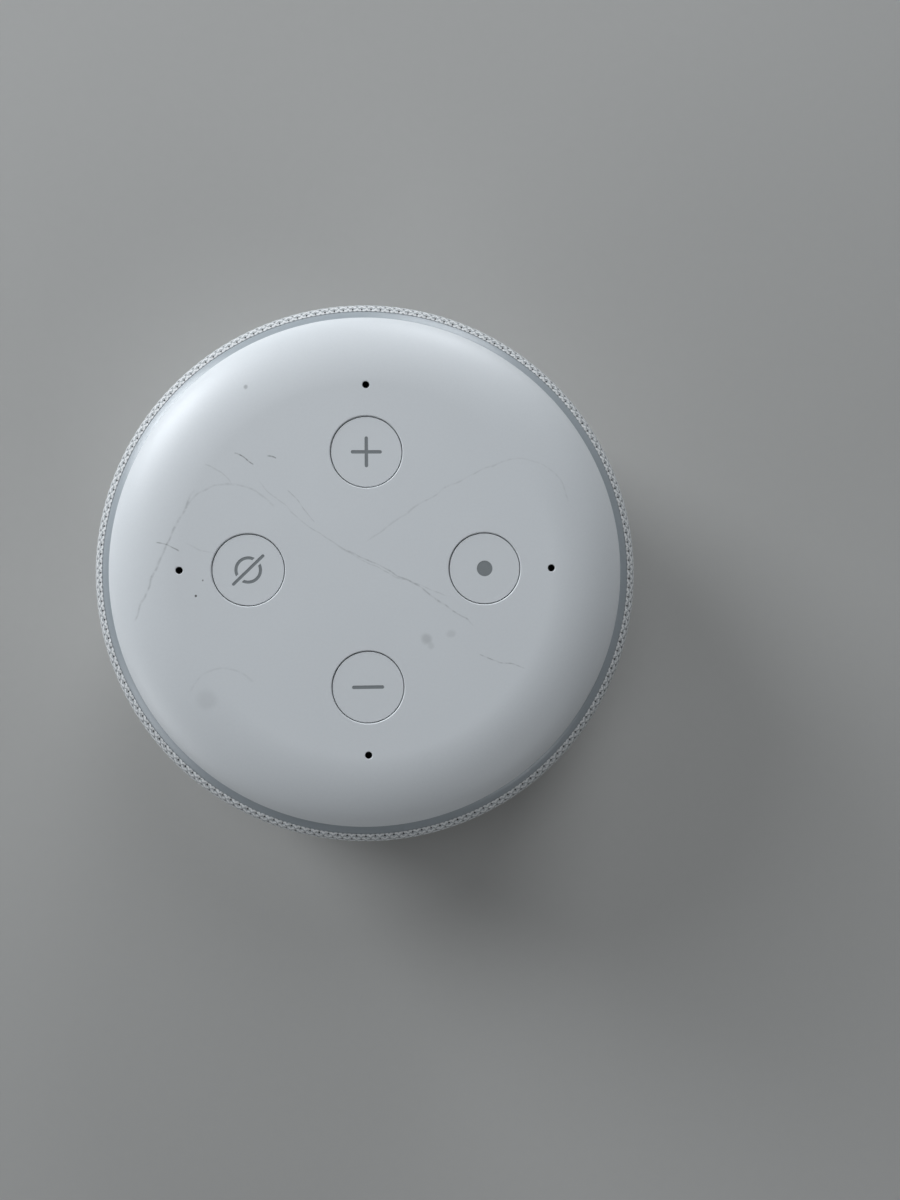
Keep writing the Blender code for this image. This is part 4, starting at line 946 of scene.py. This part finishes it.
@dataclass
class Cover:
    """The white top cover, with its button holes, microphone holes and inner bosses."""

    radius: float = 46.0
    top: float = 43.0
    flat_radius: float = 32.6
    drop: float = 4.8
    sweep: float = 0.92
    wall: float = 2.0
    lip: float = 0.4
    # Points of the lip's round, in from the cover's edge and up from the lip's underside
    lip_round: tuple[Point, ...] = ((0.02, 0.2), (0.08, 0.06), (0.22, 0.0))
    hole_radius: float = 6.34
    hole_edge: float = 0.2
    button_pitch: float = 20.65
    collar_inside: float = 7.6
    collar_wall: float = 1.0
    collar_depth: float = 1.4
    mic_pitch: float = 32.5
    mic_radius: float = 0.62
    mic_edge: float = 0.15
    hole_shade_start: float = 0.14  # how deep in a microphone hole its painted shade starts
    mic_boss: float = 2.6
    mic_boss_depth: float = 1.7
    screw_pitch: float = 36.0
    screw_boss: float = 3.0
    pilot_radius: float = 1.3
    pilot_depth: float = 3.5
    board_top: float = 36.9
    hook_count: int = 6
    hook_inside: float = 43.3
    hook_width: float = 5.0
    hook_wall: float = 0.8
    hook_catch: float = 1.0  # how far a hook reaches under the ledge
    hook_sunk: float = 0.4  # how far it is sunk into the cover
    ledge_under: float = 33.6
    steps: int = 288

    def shoulder(self, start: float, top: float, width: float, drop: float, steps: int) -> Outline:
        """The rounded edge: part of an ellipse that leaves the flat top level.

        Args:
            start: Radius where it begins.
            top: Height where it begins.
            width: How far out it goes.
            drop: How far down it goes.
            steps: How many spans it has.

        Returns:
            Its points.
        """
        reach = math.sqrt(self.sweep)
        depth = drop / (1 - math.sqrt(1 - self.sweep))
        angles = np.linspace(0.0, math.asin(reach), steps + 1)
        across = start + width * np.sin(angles) / reach
        up = top - depth * (1 - np.cos(angles))
        return list(zip(across.tolist(), up.tolist()))

    def outline(self) -> Outline:
        """The section from the middle of the top, round the edge and back under.

        Returns:
            A closed outline.
        """
        under = self.top - self.wall
        lip_under = self.top - self.drop - self.lip
        width = self.radius - self.flat_radius
        outside = self.shoulder(self.flat_radius, self.top, width, self.drop, 26)
        round_edge = [(self.radius - inward, lip_under + up) for inward, up in self.lip_round]
        inner_width = width - self.wall - self.lip / 2
        inside = self.shoulder(self.flat_radius, under, inner_width, under - lip_under, 8)
        return [(0.0, self.top)] + outside + round_edge + inside[::-1] + [(0.0, under)]

    def inner_work(self) -> Piece:
        """Collars for the buttons, bosses for microphones and screws, and snap hooks.

        Returns:
            One tool that holds them all, sunk a little into the cover.
        """
        under = self.top - self.wall
        sunk = under + self.wall / 4
        parts = []
        for azimuth in QUARTERS:
            at = polar(self.button_pitch, azimuth)
            outside = self.collar_inside + self.collar_wall
            parts.append(rod("collar", outside, under - self.collar_depth, sunk, at, sides=64))
            mic = polar(self.mic_pitch, azimuth)
            parts.append(rod("boss", self.mic_boss, under - self.mic_boss_depth, sunk, mic))
        for azimuth in CORNERS:
            at = polar(self.screw_pitch, azimuth)
            parts.append(rod("boss", self.screw_boss, self.board_top, sunk, at))
        for number in range(self.hook_count):
            azimuth = 360 / self.hook_count * (number + 0.5)
            low = (self.hook_inside, -self.hook_width / 2, self.ledge_under - self.hook_catch)
            height = self.top - self.drop + self.hook_sunk
            high = (self.hook_inside + self.hook_wall, self.hook_width / 2, height)
            parts.append(block("hook", low, high, azimuth))
        return together("inner_work", parts)

    def make(self) -> list[Piece]:
        """Model the cover.

        Returns:
            The finished piece.
        """
        cover = turned("cover_shell", self.outline(), self.steps)
        edge = self.flat_radius * MM * 1.0001

        def on_flat(face: Face) -> bool:
            """Whether a face is part of the flat top."""
            return face.normal.z > LEVEL and all(v.co.xy.length < edge for v in face.verts)

        with editing(cover):
            pick(cover, Picking.FACES, on_flat)
            bpy.ops.mesh.dissolve_faces()
        shaped(cover, self.inner_work(), Joining.WELD)
        under = self.top - self.wall
        above = self.top + TOOL_REACH
        tools = []
        for azimuth in QUARTERS:
            at = polar(self.button_pitch, azimuth)
            low = under - self.collar_depth - TOOL_REACH
            tools.append(rod("well", self.collar_inside, low, under, at, sides=64))
            mic = polar(self.mic_pitch, azimuth)
            low = under - self.mic_boss_depth - TOOL_REACH
            tools.append(rod("mic", self.mic_radius, low, above, mic, sides=32))
        low, high = self.board_top - TOOL_REACH, self.board_top + self.pilot_depth
        for azimuth in CORNERS:
            at = polar(self.screw_pitch, azimuth)
            tools.append(rod("pilot", self.pilot_radius, low, high, at, sides=24))
        shaped(cover, together("wells", tools), Joining.CUT)
        tools = []
        for azimuth in QUARTERS:
            at = polar(self.button_pitch, azimuth)
            tools.append(rod("hole", self.hole_radius, under - TOOL_REACH, above, at, sides=96))
        shaped(cover, together("holes", tools), Joining.CUT)
        self.soften(cover, self.button_pitch, self.hole_radius, self.hole_edge)
        self.soften(cover, self.mic_pitch, self.mic_radius, self.mic_edge)
        smoothed(cover)
        self.shade_mic_holes(cover)
        return [hand_over(cover, "housing", ["top_cover"])]

    def shade_mic_holes(self, cover: Piece) -> None:
        """Dress the cover, with painted shade on its microphone holes' walls, given the black rubber finish.

        Args:
            cover: The cover, with its holes.
        """
        centres = [Vector(polar(self.mic_pitch, azimuth)) for azimuth in QUARTERS]

        def in_hole(face: Face) -> bool:
            """Whether a face is part of a microphone hole's wall, below its rounded rim.

            Args:
                face: The face to judge.

            Returns:
                True for the part that is painted dark as shade.
            """
            middle = face.calc_center_median() / MM
            inside = any((middle.xy - centre).length < self.mic_radius + SLACK for centre in centres)
            return inside and middle.z < self.top - self.hole_shade_start

        cover.data.materials.clear()
        cover.data.materials.append(COVER_SHELL.made())
        # painted shade: the microphone hole walls get the black rubber finish to darken them
        cover.data.materials.append(SLOT_FINISHES["black_rubber"].made())
        cover.data.polygons.foreach_set("material_index", [0] * len(cover.data.polygons))
        with editing(cover):
            pick(cover, Picking.FACES, in_hole)
            cover.active_material_index = 1
            bpy.ops.object.material_slot_assign()

    def soften(self, cover: Piece, pitch: float, radius: float, width: float) -> None:
        """Round the top rim of each hole on a pitch circle.

        Args:
            cover: The cover.
            pitch: Radius of the pitch circle.
            radius: Radius of the holes.
            width: Width of the rounding.
        """
        centres = [Vector(polar(pitch, azimuth)) * MM for azimuth in QUARTERS]

        def on_rim(edge: Edge) -> bool:
            """Whether both ends of an edge lie on a hole's upper rim.

            Args:
                edge: The edge to judge.

            Returns:
                True for an edge of a rim.
            """
            ends = [v.co for v in edge.verts]
            if any(co.z < (self.top - self.hole_edge) * MM for co in ends):
                return False
            slack = RIM_SLACK * MM
            return any(all(abs((co.xy - c).length - radius * MM) < slack for co in ends) for c in centres)

        rounded_edges(cover, width, on_rim)


class Symbol(Enum):
    """The mark printed on a button."""

    PLUS = "plus"
    MINUS = "minus"
    DOT = "dot"
    MIC_OFF = "mic_off"


@dataclass
class Buttons:
    """Four round push buttons, level with the cover, each with its printed mark."""

    radius: float = 6.2
    top: float = 42.86
    flange_radius: float = 7.3
    flange_under: float = 39.9
    flange_wall: float = 0.8
    stem_radius: float = 1.5
    stem_length: float = 0.4
    edge: float = 0.12
    pitch: float = 20.65
    stroke: float = 0.6
    sink: float = 0.04  # the print lies this deep, so it wears last
    roundness: float = 0.495  # share of a stroke's width that rounds its ends
    plus_length: float = 5.45
    minus_length: float = 5.6
    dot_radius: float = 1.38
    ring_inside: float = 1.85
    ring_outside: float = 2.38
    ring_gap: float = 1.4  # width of the ring's gap on each side of the slash
    slash_length: float = 7.6
    slash_width: float = 0.52
    slash_turn: float = 44.0
    steps: int = 96

    def stroke_tool(self, length: float, width: float, at: Point, turn: float) -> Piece:
        """A round-ended bar that cuts one stroke of a mark.

        Args:
            length: Length over its ends.
            width: Stroke width.
            at: Its middle.
            turn: Degrees from +X.

        Returns:
            The tool.
        """
        low = (-length / 2, -width / 2, self.top - self.sink)
        high = (length / 2, width / 2, self.top + TOOL_REACH)
        bar = block("stroke", low, high)
        rounded_edges(bar, width * self.roundness, lambda edge: lies_along(edge, 2), 6)
        bar.rotation_euler.z = math.radians(turn)
        bar.location = (at[0] * MM, at[1] * MM, 0.0)
        return settle(bar)

    def mark_tools(self, symbol: Symbol, at: Point) -> list[Piece]:
        """The tools that sink a mark into a button's top.

        Args:
            symbol: Which mark.
            at: The button's middle.

        Returns:
            Tools to use one after another.
        """
        low, high = self.top - self.sink, self.top + TOOL_REACH
        if symbol is Symbol.DOT:
            return [rod("dot", self.dot_radius, low, high, at)]
        if symbol is Symbol.MINUS:
            return [self.stroke_tool(self.minus_length, self.stroke, at, 0.0)]
        if symbol is Symbol.PLUS:
            return [self.stroke_tool(self.plus_length, self.stroke, at, turn) for turn in (0.0, 90.0)]
        section = [(self.ring_inside, low), (self.ring_outside, low)]
        section += [(self.ring_outside, high), (self.ring_inside, high)]
        ring = turned("ring", section, 64)
        far, half = 4.0, self.ring_gap / 2
        gap = block("gap", (-far, -half, low - TOOL_REACH), (far, half, high + TOOL_REACH), 45.0)
        shaped(ring, gap, Joining.CUT)
        ring.location = (at[0] * MM, at[1] * MM, 0.0)
        settle(ring)
        return [ring, self.stroke_tool(self.slash_length, self.slash_width, at, self.slash_turn)]

    def blank(self) -> Piece:
        """A button with no mark, on the Z axis.

        Returns:
            The blank.
        """
        low = self.flange_under
        rim = swept((self.radius - self.edge, self.top - self.edge), (self.edge, self.edge), 0, 90, 4)
        foot = low - self.stem_length
        outline = [(0.0, foot), (self.stem_radius, foot), (self.stem_radius, low)]
        outline += [(self.flange_radius, low), (self.flange_radius, low + self.flange_wall)]
        outline += [(self.radius, low + self.flange_wall)] + rim + [(0.0, self.top)]
        blank = turned("button_blank", outline, self.steps)
        height = (self.top - SLACK / 10) * MM

        def on_top(face: Face) -> bool:
            """Whether a face is part of the flat top."""
            return face.normal.z > LEVEL and face.calc_center_median().z > height

        with editing(blank):
            pick(blank, Picking.FACES, on_top)
            bpy.ops.mesh.dissolve_faces()
        return blank

    def make(self) -> list[Piece]:
        """Model the four buttons.

        Returns:
            The finished pieces.
        """
        blank = self.blank()
        blank.data.materials.append(CLEAN_SHELL.made())
        plan = {
            "volume_up": (90.0, Symbol.PLUS),
            "mic_off": (180.0, Symbol.MIC_OFF),
            "volume_down": (270.0, Symbol.MINUS),
            "action": (0.0, Symbol.DOT),
        }
        made = []
        for name, (azimuth, symbol) in plan.items():
            at = polar(self.pitch, azimuth)
            button = copied(blank, f"{name}_cap", Vector((*at, 0.0)) * MM)
            for tool in self.mark_tools(symbol, at):
                tool.data.materials.clear()
                tool.data.materials.append(KEY_INK.made())
                shaped(button, tool, Joining.CUT)
            smoothed(button)
            made.append(hand_over(button, f"{name}_key", [f"{name}_button"]))
        bpy.data.objects.remove(blank, do_unlink=True)
        return made


@dataclass
class LightRing:
    """The smooth frosted ring between the cover's edge and the fabric."""

    inside: float = 45.0
    shelf: float = 46.0  # where the ring comes out from under the cover
    shelf_width: float = 0.5
    shelf_drop: float = 0.02
    outside: float = 47.63
    under: float = 35.7
    crest: float = 37.75
    slope: float = 1.08
    swell: float = 0.56  # share of the slope that is left halfway out
    edge: float = 0.06
    steps: int = 288

    def make(self) -> list[Piece]:
        """Model the ring.

        Returns:
            The finished piece.
        """
        low = self.crest - self.slope
        rim = swept((self.outside - self.edge, low - self.edge), (self.edge, self.edge), 0, 80, 4)
        middle = (self.outside + self.shelf) / 2
        top = [(middle, low + self.slope * self.swell), (self.shelf, self.crest - self.shelf_drop)]
        outline = [(self.inside, self.under), (self.outside, self.under)] + rim + top
        outline += [(self.shelf - self.shelf_width, self.crest), (self.inside, self.crest)]
        ring = turned("light_ring_diffuser", outline, self.steps)
        smoothed(ring, 50.0)
        return [hand_over(ring, "housing", ["light_ring"], RING_DIFFUSER)]


@dataclass
class Sleeve:
    """The knitted sleeve, stretched over the frame, with stitches raised in its surface."""

    radius: float = 49.5
    top: float = 36.7
    top_inside: float = 47.65
    shoulder: float = 2.7
    foot: float = 3.1
    foot_inset: float = 2.5
    low: float = 2.15
    wall: float = 0.7
    columns: int = 178  # stitches round the sleeve, 1.75 mm each
    per_stitch: int = 5  # mesh spans in a stitch
    depth: float = 0.24  # how deep an open stitch lies
    spread: float = 0.15  # how far an open stitch spreads beyond its own quarter of the pattern
    sharpness: float = 1.5  # how steeply its sides fall
    groove: float = 0.06  # depth of the groove between two yarns
    first_row: float = 0.72  # place in the pattern where the cloth meets the ring
    soft_angle: float = 65.0  # stitches shade softly below this, while the cut ends keep a hard edge
    window: tuple[float, float, float] = (25.6, 10.6, 9.5)  # length, height and place up
    window_reach: tuple[float, float] = (3.0, 8.0)  # of its tool, out of the sleeve and into it

    @property
    def pitch(self) -> float:
        """Width of one stitch in millimetres."""
        return math.tau * self.radius / self.columns

    def outside(self) -> Outline:
        """The outer side of the section, from the ring down to the foot.

        Returns:
            Evenly spaced points.
        """
        upper = self.top - self.shoulder
        lower = self.low + self.foot
        line = swept((self.top_inside, upper), (self.radius - self.top_inside, self.shoulder), 90, 0, 24)
        line += swept((self.radius - self.foot_inset, lower), (self.foot_inset, self.foot), 0, -80, 24)
        return even(line, self.pitch / self.per_stitch)

    def inside(self) -> Outline:
        """The inner side of the section, from the foot up to the ring.

        Returns:
            A few points, since it isn't seen.
        """
        upper = self.top - self.shoulder
        lower = self.low + self.foot
        inset, foot = self.foot_inset - self.wall, self.foot - self.wall
        line = swept((self.radius - self.wall - inset, lower), (inset, foot), -80, 0, 2)
        width = self.radius - self.top_inside - self.wall
        return line + swept((self.top_inside, upper), (width, self.shoulder - self.wall), 0, 90, 2)

    def stitch(self, sleeve: Piece, line: Outline) -> None:
        """Map the stitches and press the open ones in.

        Args:
            sleeve: The plain turned sleeve.
            line: The outer side of its section.
        """
        mesh = sleeve.data
        points = np.empty(len(mesh.vertices) * 3)
        mesh.vertices.foreach_get("co", points)
        points = points.reshape(-1, 3)
        spots = np.stack([np.hypot(points[:, 0], points[:, 1]), points[:, 2]], 1) / MM
        path = np.array(line)
        gaps = np.linalg.norm(spots[:, None] - path[None], axis=2)
        row = gaps.argmin(1)
        outer = gaps.min(1) < SLACK
        down = row / self.per_stitch + self.first_row
        across = np.arctan2(points[:, 1], points[:, 0]) / math.tau % 1.0 * self.columns
        along = np.gradient(path, axis=0)
        along /= np.linalg.norm(along, axis=1)[:, None]
        facing = np.stack([-along[:, 1], along[:, 0]], 1)[row]
        waves = np.cos(math.tau * across) * np.cos(math.tau * down)
        lean = 0.5 + 0.5 * np.cos(math.tau * (across - down))
        open_part = np.clip((waves + self.spread) / (1 + self.spread), 0.0, 1.0)
        dip = open_part**self.sharpness * self.depth + self.groove * (1 - lean) * (waves < 0.6)
        edge = np.minimum(row, len(line) - 1 - row)
        dip *= outer * np.clip(edge, 0.0, 1.0)
        ray = points[:, :2] / np.maximum(np.hypot(points[:, 0], points[:, 1]), 1e-9)[:, None]
        points[:, :2] -= ray * (facing[:, :1] * dip[:, None]) * MM
        points[:, 2] -= facing[:, 1] * dip * MM
        mesh.vertices.foreach_set("co", points.ravel())
        for old in list(mesh.uv_layers):
            mesh.uv_layers.remove(old)
        layer = mesh.uv_layers.new(name="stitches")
        corner = np.empty(len(mesh.loops), dtype=np.int64)
        mesh.loops.foreach_get("vertex_index", corner)
        starts = np.empty(len(mesh.polygons), dtype=np.int64)
        mesh.polygons.foreach_get("loop_start", starts)
        totals = np.diff(np.append(starts, len(corner)))
        u = across[corner]
        widest = np.repeat(np.maximum.reduceat(u, starts), totals)
        u = np.where(widest - u > self.columns / 2, u + self.columns, u)
        layer.uv.foreach_set("vector", np.stack([u, down[corner]], 1).astype(np.float32).ravel())
        mesh.update()

    def make(self) -> list[Piece]:
        """Model the sleeve.

        Returns:
            The finished piece.
        """
        line = self.outside()
        sleeve = screwed("knit_sleeve", line + self.inside(), self.columns * self.per_stitch)
        self.stitch(sleeve, line)
        length, height, z = self.window
        out, into = self.window_reach
        shaped(sleeve, pill("window", length, height, self.radius + out, self.radius - into, z), Joining.CUT)
        hold(sleeve)
        bpy.ops.object.shade_smooth_by_angle(angle=math.radians(self.soft_angle))
        hand_over(sleeve, "housing", ["fabric_sleeve"], SLEEVE_KNIT)
        return [sleeve]


PILL_ROUNDNESS = 0.4995  # share of the height, just under half so that the rounds don't meet


def pill(name: str, length: float, height: float, front: float, back: float, z: float) -> Piece:
    """A plate with round ends that stands across Y.

    Args:
        name: The piece's name.
        length: Length along X over the ends.
        height: Height along Z.
        front: Y of its front.
        back: Y of its back.
        z: Height of its middle.

    Returns:
        The plate.
    """
    plate = block(name, (-length / 2, back, z - height / 2), (length / 2, front, z + height / 2))
    rounded_edges(plate, height * PILL_ROUNDNESS, lambda edge: lies_along(edge, 1), 14)
    return plate


@dataclass
class Base:
    """The rubber pad and the base plate around it."""

    pad_radius: float = 43.5
    pad_top: float = 1.4
    pad_edge: float = 0.4
    pad_groove: tuple[Point, ...] = ((39.4, 0.0), (39.6, 0.25), (40.4, 0.25), (40.6, 0.0))
    plate_radius: float = 46.3
    plate_under: float = 1.7
    plate_top: float = 3.7
    rim: float = 0.8
    recess: float = 43.8
    corner: float = 1.7
    cone_radius: float = 15.0
    cone_height: float = 2.0
    screw_pitch: float = 38.0
    boss_radius: float = 4.2
    boss_top: float = 6.0
    boss_sunk: float = 0.5
    head_radius: float = 3.1
    head_top: float = 4.1
    shank_radius: float = 1.6
    shank_top: float = 8.0
    steps: int = 192

    def make_pad(self) -> Piece:
        """Model the pad, with a soft edge and a shallow moulded groove near its rim.

        Returns:
            The finished piece.
        """
        edge = self.pad_edge
        rim = swept((self.pad_radius - edge, edge), (edge, edge), -90, 0, 5)
        outline = [(0.0, 0.0), *self.pad_groove, *rim, (self.pad_radius, self.pad_top), (0.0, self.pad_top)]
        pad = turned("rubber_pad", outline, self.steps)
        smoothed(pad)
        return hand_over(pad, "housing", ["base_pad"], PAD_RUBBER)

    def make_plate(self) -> Piece:
        """Model the plate, with its sound deflector, screw bosses and counterbores.

        Returns:
            The finished piece.
        """
        under = self.plate_under - self.rim
        corner = self.plate_radius - self.corner
        shares = (1.0, 0.75, 0.5, 0.25, 0.0)
        cone = [(self.cone_radius * f, self.plate_top + self.cone_height * (1 - f) ** 1.5) for f in shares]
        outline = [(0.0, self.plate_under), (self.recess, self.plate_under), (self.recess, under + 0.1)]
        outline += [(self.recess + 0.1, under), (corner, under)]
        outline += swept((corner, under + self.corner), (self.corner, self.corner), -80, 0, 8)
        plate = turned("base_plate_shell", outline + [(self.plate_radius, self.plate_top)] + cone, self.steps)
        places = [polar(self.screw_pitch, azimuth) for azimuth in CORNERS]
        low = self.plate_under
        bosses = [rod("boss", self.boss_radius, low + self.boss_sunk, self.boss_top, at) for at in places]
        shaped(plate, together("bosses", bosses), Joining.WELD)
        heads = [rod("head", self.head_radius, low - TOOL_REACH, self.head_top, at) for at in places]
        shaped(plate, together("heads", heads), Joining.CUT)
        shanks = [rod("shank", self.shank_radius, low, self.shank_top, at, 24) for at in places]
        shaped(plate, together("shanks", shanks), Joining.CUT)
        smoothed(plate)
        return hand_over(plate, "housing", ["base_plate"], CLEAN_SHELL)

    def make(self) -> list[Piece]:
        """Model the pad and the plate, and return them."""
        return [self.make_pad(), self.make_plate()]


@dataclass
class Ports:
    """The recessed panel at the back, with its power and sound sockets."""

    length: float = 25.0
    height: float = 10.0
    z: float = 9.5
    surface: float = 49.4
    panel: float = 47.2
    wall: float = 1.4
    rim: float = 0.9
    spacing: float = 11.5
    power_bore: float = 2.2
    audio_bore: float = 1.8
    collar: float = 0.9
    collar_drop: float = 0.25  # from the panel's face in to a collar's
    clearance: float = 0.15  # round a collar
    spare: float = 0.3  # collar wall that the bore's tool cuts away
    setback: float = 0.3  # from the panel's inner side to a socket's block
    bore_end: float = 1.0  # closed end of a bore
    jack_under: float = 6.0
    power_size: tuple[float, float, float] = (8.0, 10.6, 7.0)
    audio_size: tuple[float, float, float] = (7.0, 13.9, 6.4)
    pin_radius: float = 0.8
    pin_round: Point = (0.3, 0.25)
    pin_gap: float = 0.3  # from the bore's closed end to the pin

    @property
    def socket_front(self) -> float:
        """Y of the front of both sockets' blocks."""
        return self.panel - self.wall - self.setback

    def make_panel(self) -> Piece:
        """Model the panel: a rounded frame that follows the sleeve, round a flat recessed face.

        Returns:
            The finished piece.
        """
        panel = pill("port_panel", self.length, self.height, self.surface + 2, self.panel - self.wall, self.z)
        skin = rod("skin", self.surface, self.z - self.height, self.z + self.height, sides=512)
        shaped(panel, skin, Joining.KEEP_COMMON)
        inner = (self.length - 2 * self.rim, self.height - 2 * self.rim)
        shaped(panel, pill("recess", *inner, self.surface + 3, self.panel, self.z), Joining.CUT)
        for x, bore in ((-self.spacing / 2, self.power_bore), (self.spacing / 2, self.audio_bore)):
            low, high = self.panel - self.wall - TOOL_REACH, self.panel + TOOL_REACH
            hole = rod("hole", bore + self.collar + self.clearance, low, high)
            shaped(panel, lies_along_back(hole, x, self.z), Joining.CUT)
        front = (self.panel + 0.2) * MM

        def on_mouth(edge: Edge) -> bool:
            """Whether an edge runs round the frame's front, on either side.

            Args:
                edge: The edge to judge.

            Returns:
                True for an edge between the front and a side.
            """
            ends = [v.co for v in edge.verts]
            across = ends[1] - ends[0]
            facing = [f.normal.y for f in edge.link_faces]
            return all(c.y > front for c in ends) and across.length > 0 and max(facing) > 0.5 > min(facing)

        rounded_edges(panel, 0.2, on_mouth)
        smoothed(panel, 40.0)
        return hand_over(panel, "housing", ["port_bezel"], CLEAN_SHELL)

    def socket(self, name: str, x: float, bore: float, size: tuple[float, float, float]) -> Piece:
        """Model one socket: a moulded block with a round collar and a stepped bore.

        Args:
            name: The piece's name.
            x: Place across.
            bore: Bore radius.
            size: Width, depth and height of the block.

        Returns:
            The piece, not yet handed over.
        """
        width, depth, height = size
        front = self.socket_front
        low = (x - width / 2, front - depth, self.jack_under)
        body = block(name, low, (x + width / 2, front, self.jack_under + height))
        rounded_edges(body, 0.3, lambda edge: True, 2)
        face = self.panel - self.collar_drop
        outer = bore + self.collar
        spare = bore - self.spare
        collar = [(spare, front - 1.0), (outer, front - 1.0), (outer, face - 0.2), (outer - 0.2, face)]
        collar += [(bore + 0.35, face), (spare, face - 0.65)]
        shaped(body, lies_along_back(turned("collar", collar, 64), x, self.z), Joining.WELD)
        hole = rod("bore", bore, front - depth + self.bore_end, face + TOOL_REACH, sides=64)
        return smoothed(shaped(body, lies_along_back(hole, x, self.z), Joining.CUT), 40.0)

    def make_sockets(self) -> list[Piece]:
        """Model both sockets and the pin in the power socket.

        Returns:
            The finished pieces.
        """
        black = SLOT_FINISHES["black_plastic"]
        power = self.socket("power_socket", -self.spacing / 2, self.power_bore, self.power_size)
        hand_over(power, "housing", ["power_jack"], black)
        audio = self.socket("audio_socket", self.spacing / 2, self.audio_bore, self.audio_size)
        hand_over(audio, "housing", ["audio_jack"], black)
        front = self.socket_front
        back = front - self.power_size[1] + self.bore_end + self.pin_gap
        across, up = self.pin_round
        outline = [(0.0, back), (self.pin_radius, back), (self.pin_radius, front - up)]
        outline += swept((self.pin_radius - across, front - up), self.pin_round, 15, 90, 4) + [(0.0, front)]
        pin = lies_along_back(turned("power_pin", outline, 32), -self.spacing / 2, self.z)
        smoothed(pin, 60.0)
        hand_over(pin, "housing", ["power_jack_pin"], SLOT_FINISHES["brass"])
        return [power, audio, pin]

    def make(self) -> list[Piece]:
        """Model the panel, both sockets and the pin, and return them."""
        return [self.make_panel(), *self.make_sockets()]


def dress_insides() -> None:
    """Give each CAD node that is kept its slot's finish."""
    for part in frame["record"]["subparts"]:
        node = frame["nodes"][part["node"]]
        node.data.materials.clear()
        node.data.materials.append(SLOT_FINISHES[part["material_slot"]].made())


# ---------------------------------------------------------------- the studio

DAYLIGHT = "#F5FAFF"  # overcast sky through a window: barely cool


@dataclass(frozen=True)
class Softbox:
    """A large soft lamp that faces the speaker from a compass direction and a height."""

    name: str
    azimuth: float
    elevation: float
    power: float
    colour: str = DAYLIGHT
    distance: float = 1.5
    size: float = 0.7

    def make(self) -> None:
        """Put the lamp up."""
        lamp = bpy.data.lights.new(self.name, "AREA")
        lamp.shape = "DISK"
        lamp.size = self.size
        lamp.energy = self.power
        lamp.color = linear(self.colour)[:3]
        stand = bpy.data.objects.new(self.name, lamp)
        turn, lift = math.radians(self.azimuth), math.radians(self.elevation)
        reach = self.distance * math.cos(lift)
        stand.location = (reach * math.cos(turn), reach * math.sin(turn), self.distance * math.sin(lift))
        stand.rotation_euler = Vector(stand.location).to_track_quat("Z", "Y").to_euler()
        stand.visible_camera = False
        bpy.context.scene.collection.objects.link(stand)


@dataclass
class Studio:
    """Floor, lamps and camera."""

    floor_size: float = 6.0
    lens: float = 27.06
    camera_place: tuple[float, float, float] = (-14.5, 5.4, -158.0)  # the top's middle as the camera sees it
    lamps: tuple[Softbox, ...] = (
        Softbox("window_top", azimuth=140, elevation=25, power=8.5),
        Softbox("window_foot", azimuth=140, elevation=12, power=8.5),
        Softbox("back_wall", azimuth=75, elevation=12, power=7.5),
        Softbox("back_sky", azimuth=80, elevation=40, power=3.0),
        Softbox("left_wall", azimuth=210, elevation=12, power=3.5),
        Softbox("right_fill", azimuth=310, elevation=30, power=2.5),
        Softbox("ceiling", azimuth=120, elevation=75, power=3.0),
    )  # a tall window on the left, the pale walls round it and a weak fill
    camera_turn: tuple[float, float, float] = (-1.2, 3.0, 0.49)  # degrees about X, Y and Z
    speaker_top: float = 43.0

    def make_floor(self) -> None:
        """Lay a plain pale floor."""
        clear_selection()
        bpy.ops.mesh.primitive_plane_add(size=self.floor_size, location=(0.0, 0.0, 0.0))
        floor = named("floor")
        paint = Finish(
            "floor_paint", "#B9B8B5", roughness=0.7, grain=1.5, relief=0.004, mottle=0.02, patch=60.0
        )
        floor.data.materials.append(paint.made())

    def make_light(self) -> None:
        """Put up the lamps and a faint even fill."""
        for lamp in self.lamps:
            lamp.make()
        world = bpy.data.worlds.new("fill")
        world.use_nodes = True
        back = world.node_tree.nodes["Background"]
        back.inputs["Color"].default_value = linear(ROOM_LIGHT)
        back.inputs["Strength"].default_value = 0.02
        bpy.context.scene.world = world

    def make_camera(self) -> None:
        """Hang the camera above the speaker."""
        camera = bpy.data.cameras.new("camera")
        camera.lens = self.lens
        camera.sensor_width = 36.0
        camera.clip_start = 0.01
        camera.clip_end = 50.0
        stand = bpy.data.objects.new("camera", camera)
        x, y, z = (math.radians(angle) for angle in self.camera_turn)
        turn = Matrix.Rotation(-x, 4, "X") @ Matrix.Rotation(-y, 4, "Y") @ Matrix.Rotation(-z, 4, "Z")
        seen = Vector(self.camera_place) * MM
        top = Matrix.Translation((0.0, 0.0, self.speaker_top * MM))
        stand.matrix_world = top @ turn @ Matrix.Translation(-seen)
        bpy.context.scene.collection.objects.link(stand)
        bpy.context.scene.camera = stand

    def make(self) -> None:
        """Set the whole studio up."""
        self.make_floor()
        self.make_light()
        self.make_camera()
        bpy.context.scene.view_settings.view_transform = "Standard"


def main() -> None:
    """Build the studio and the speaker, and log each piece's face count."""
    logging.basicConfig(level=logging.INFO, format="%(name)s: %(message)s")
    Studio().make()
    dress_insides()
    for assembly in (Cover(), Buttons(), LightRing(), Sleeve(), Base(), Ports()):
        for piece in assembly.make():
            log.info("%s: %d faces", piece.name, len(piece.data.polygons))


if __name__ == "__main__":
    main()
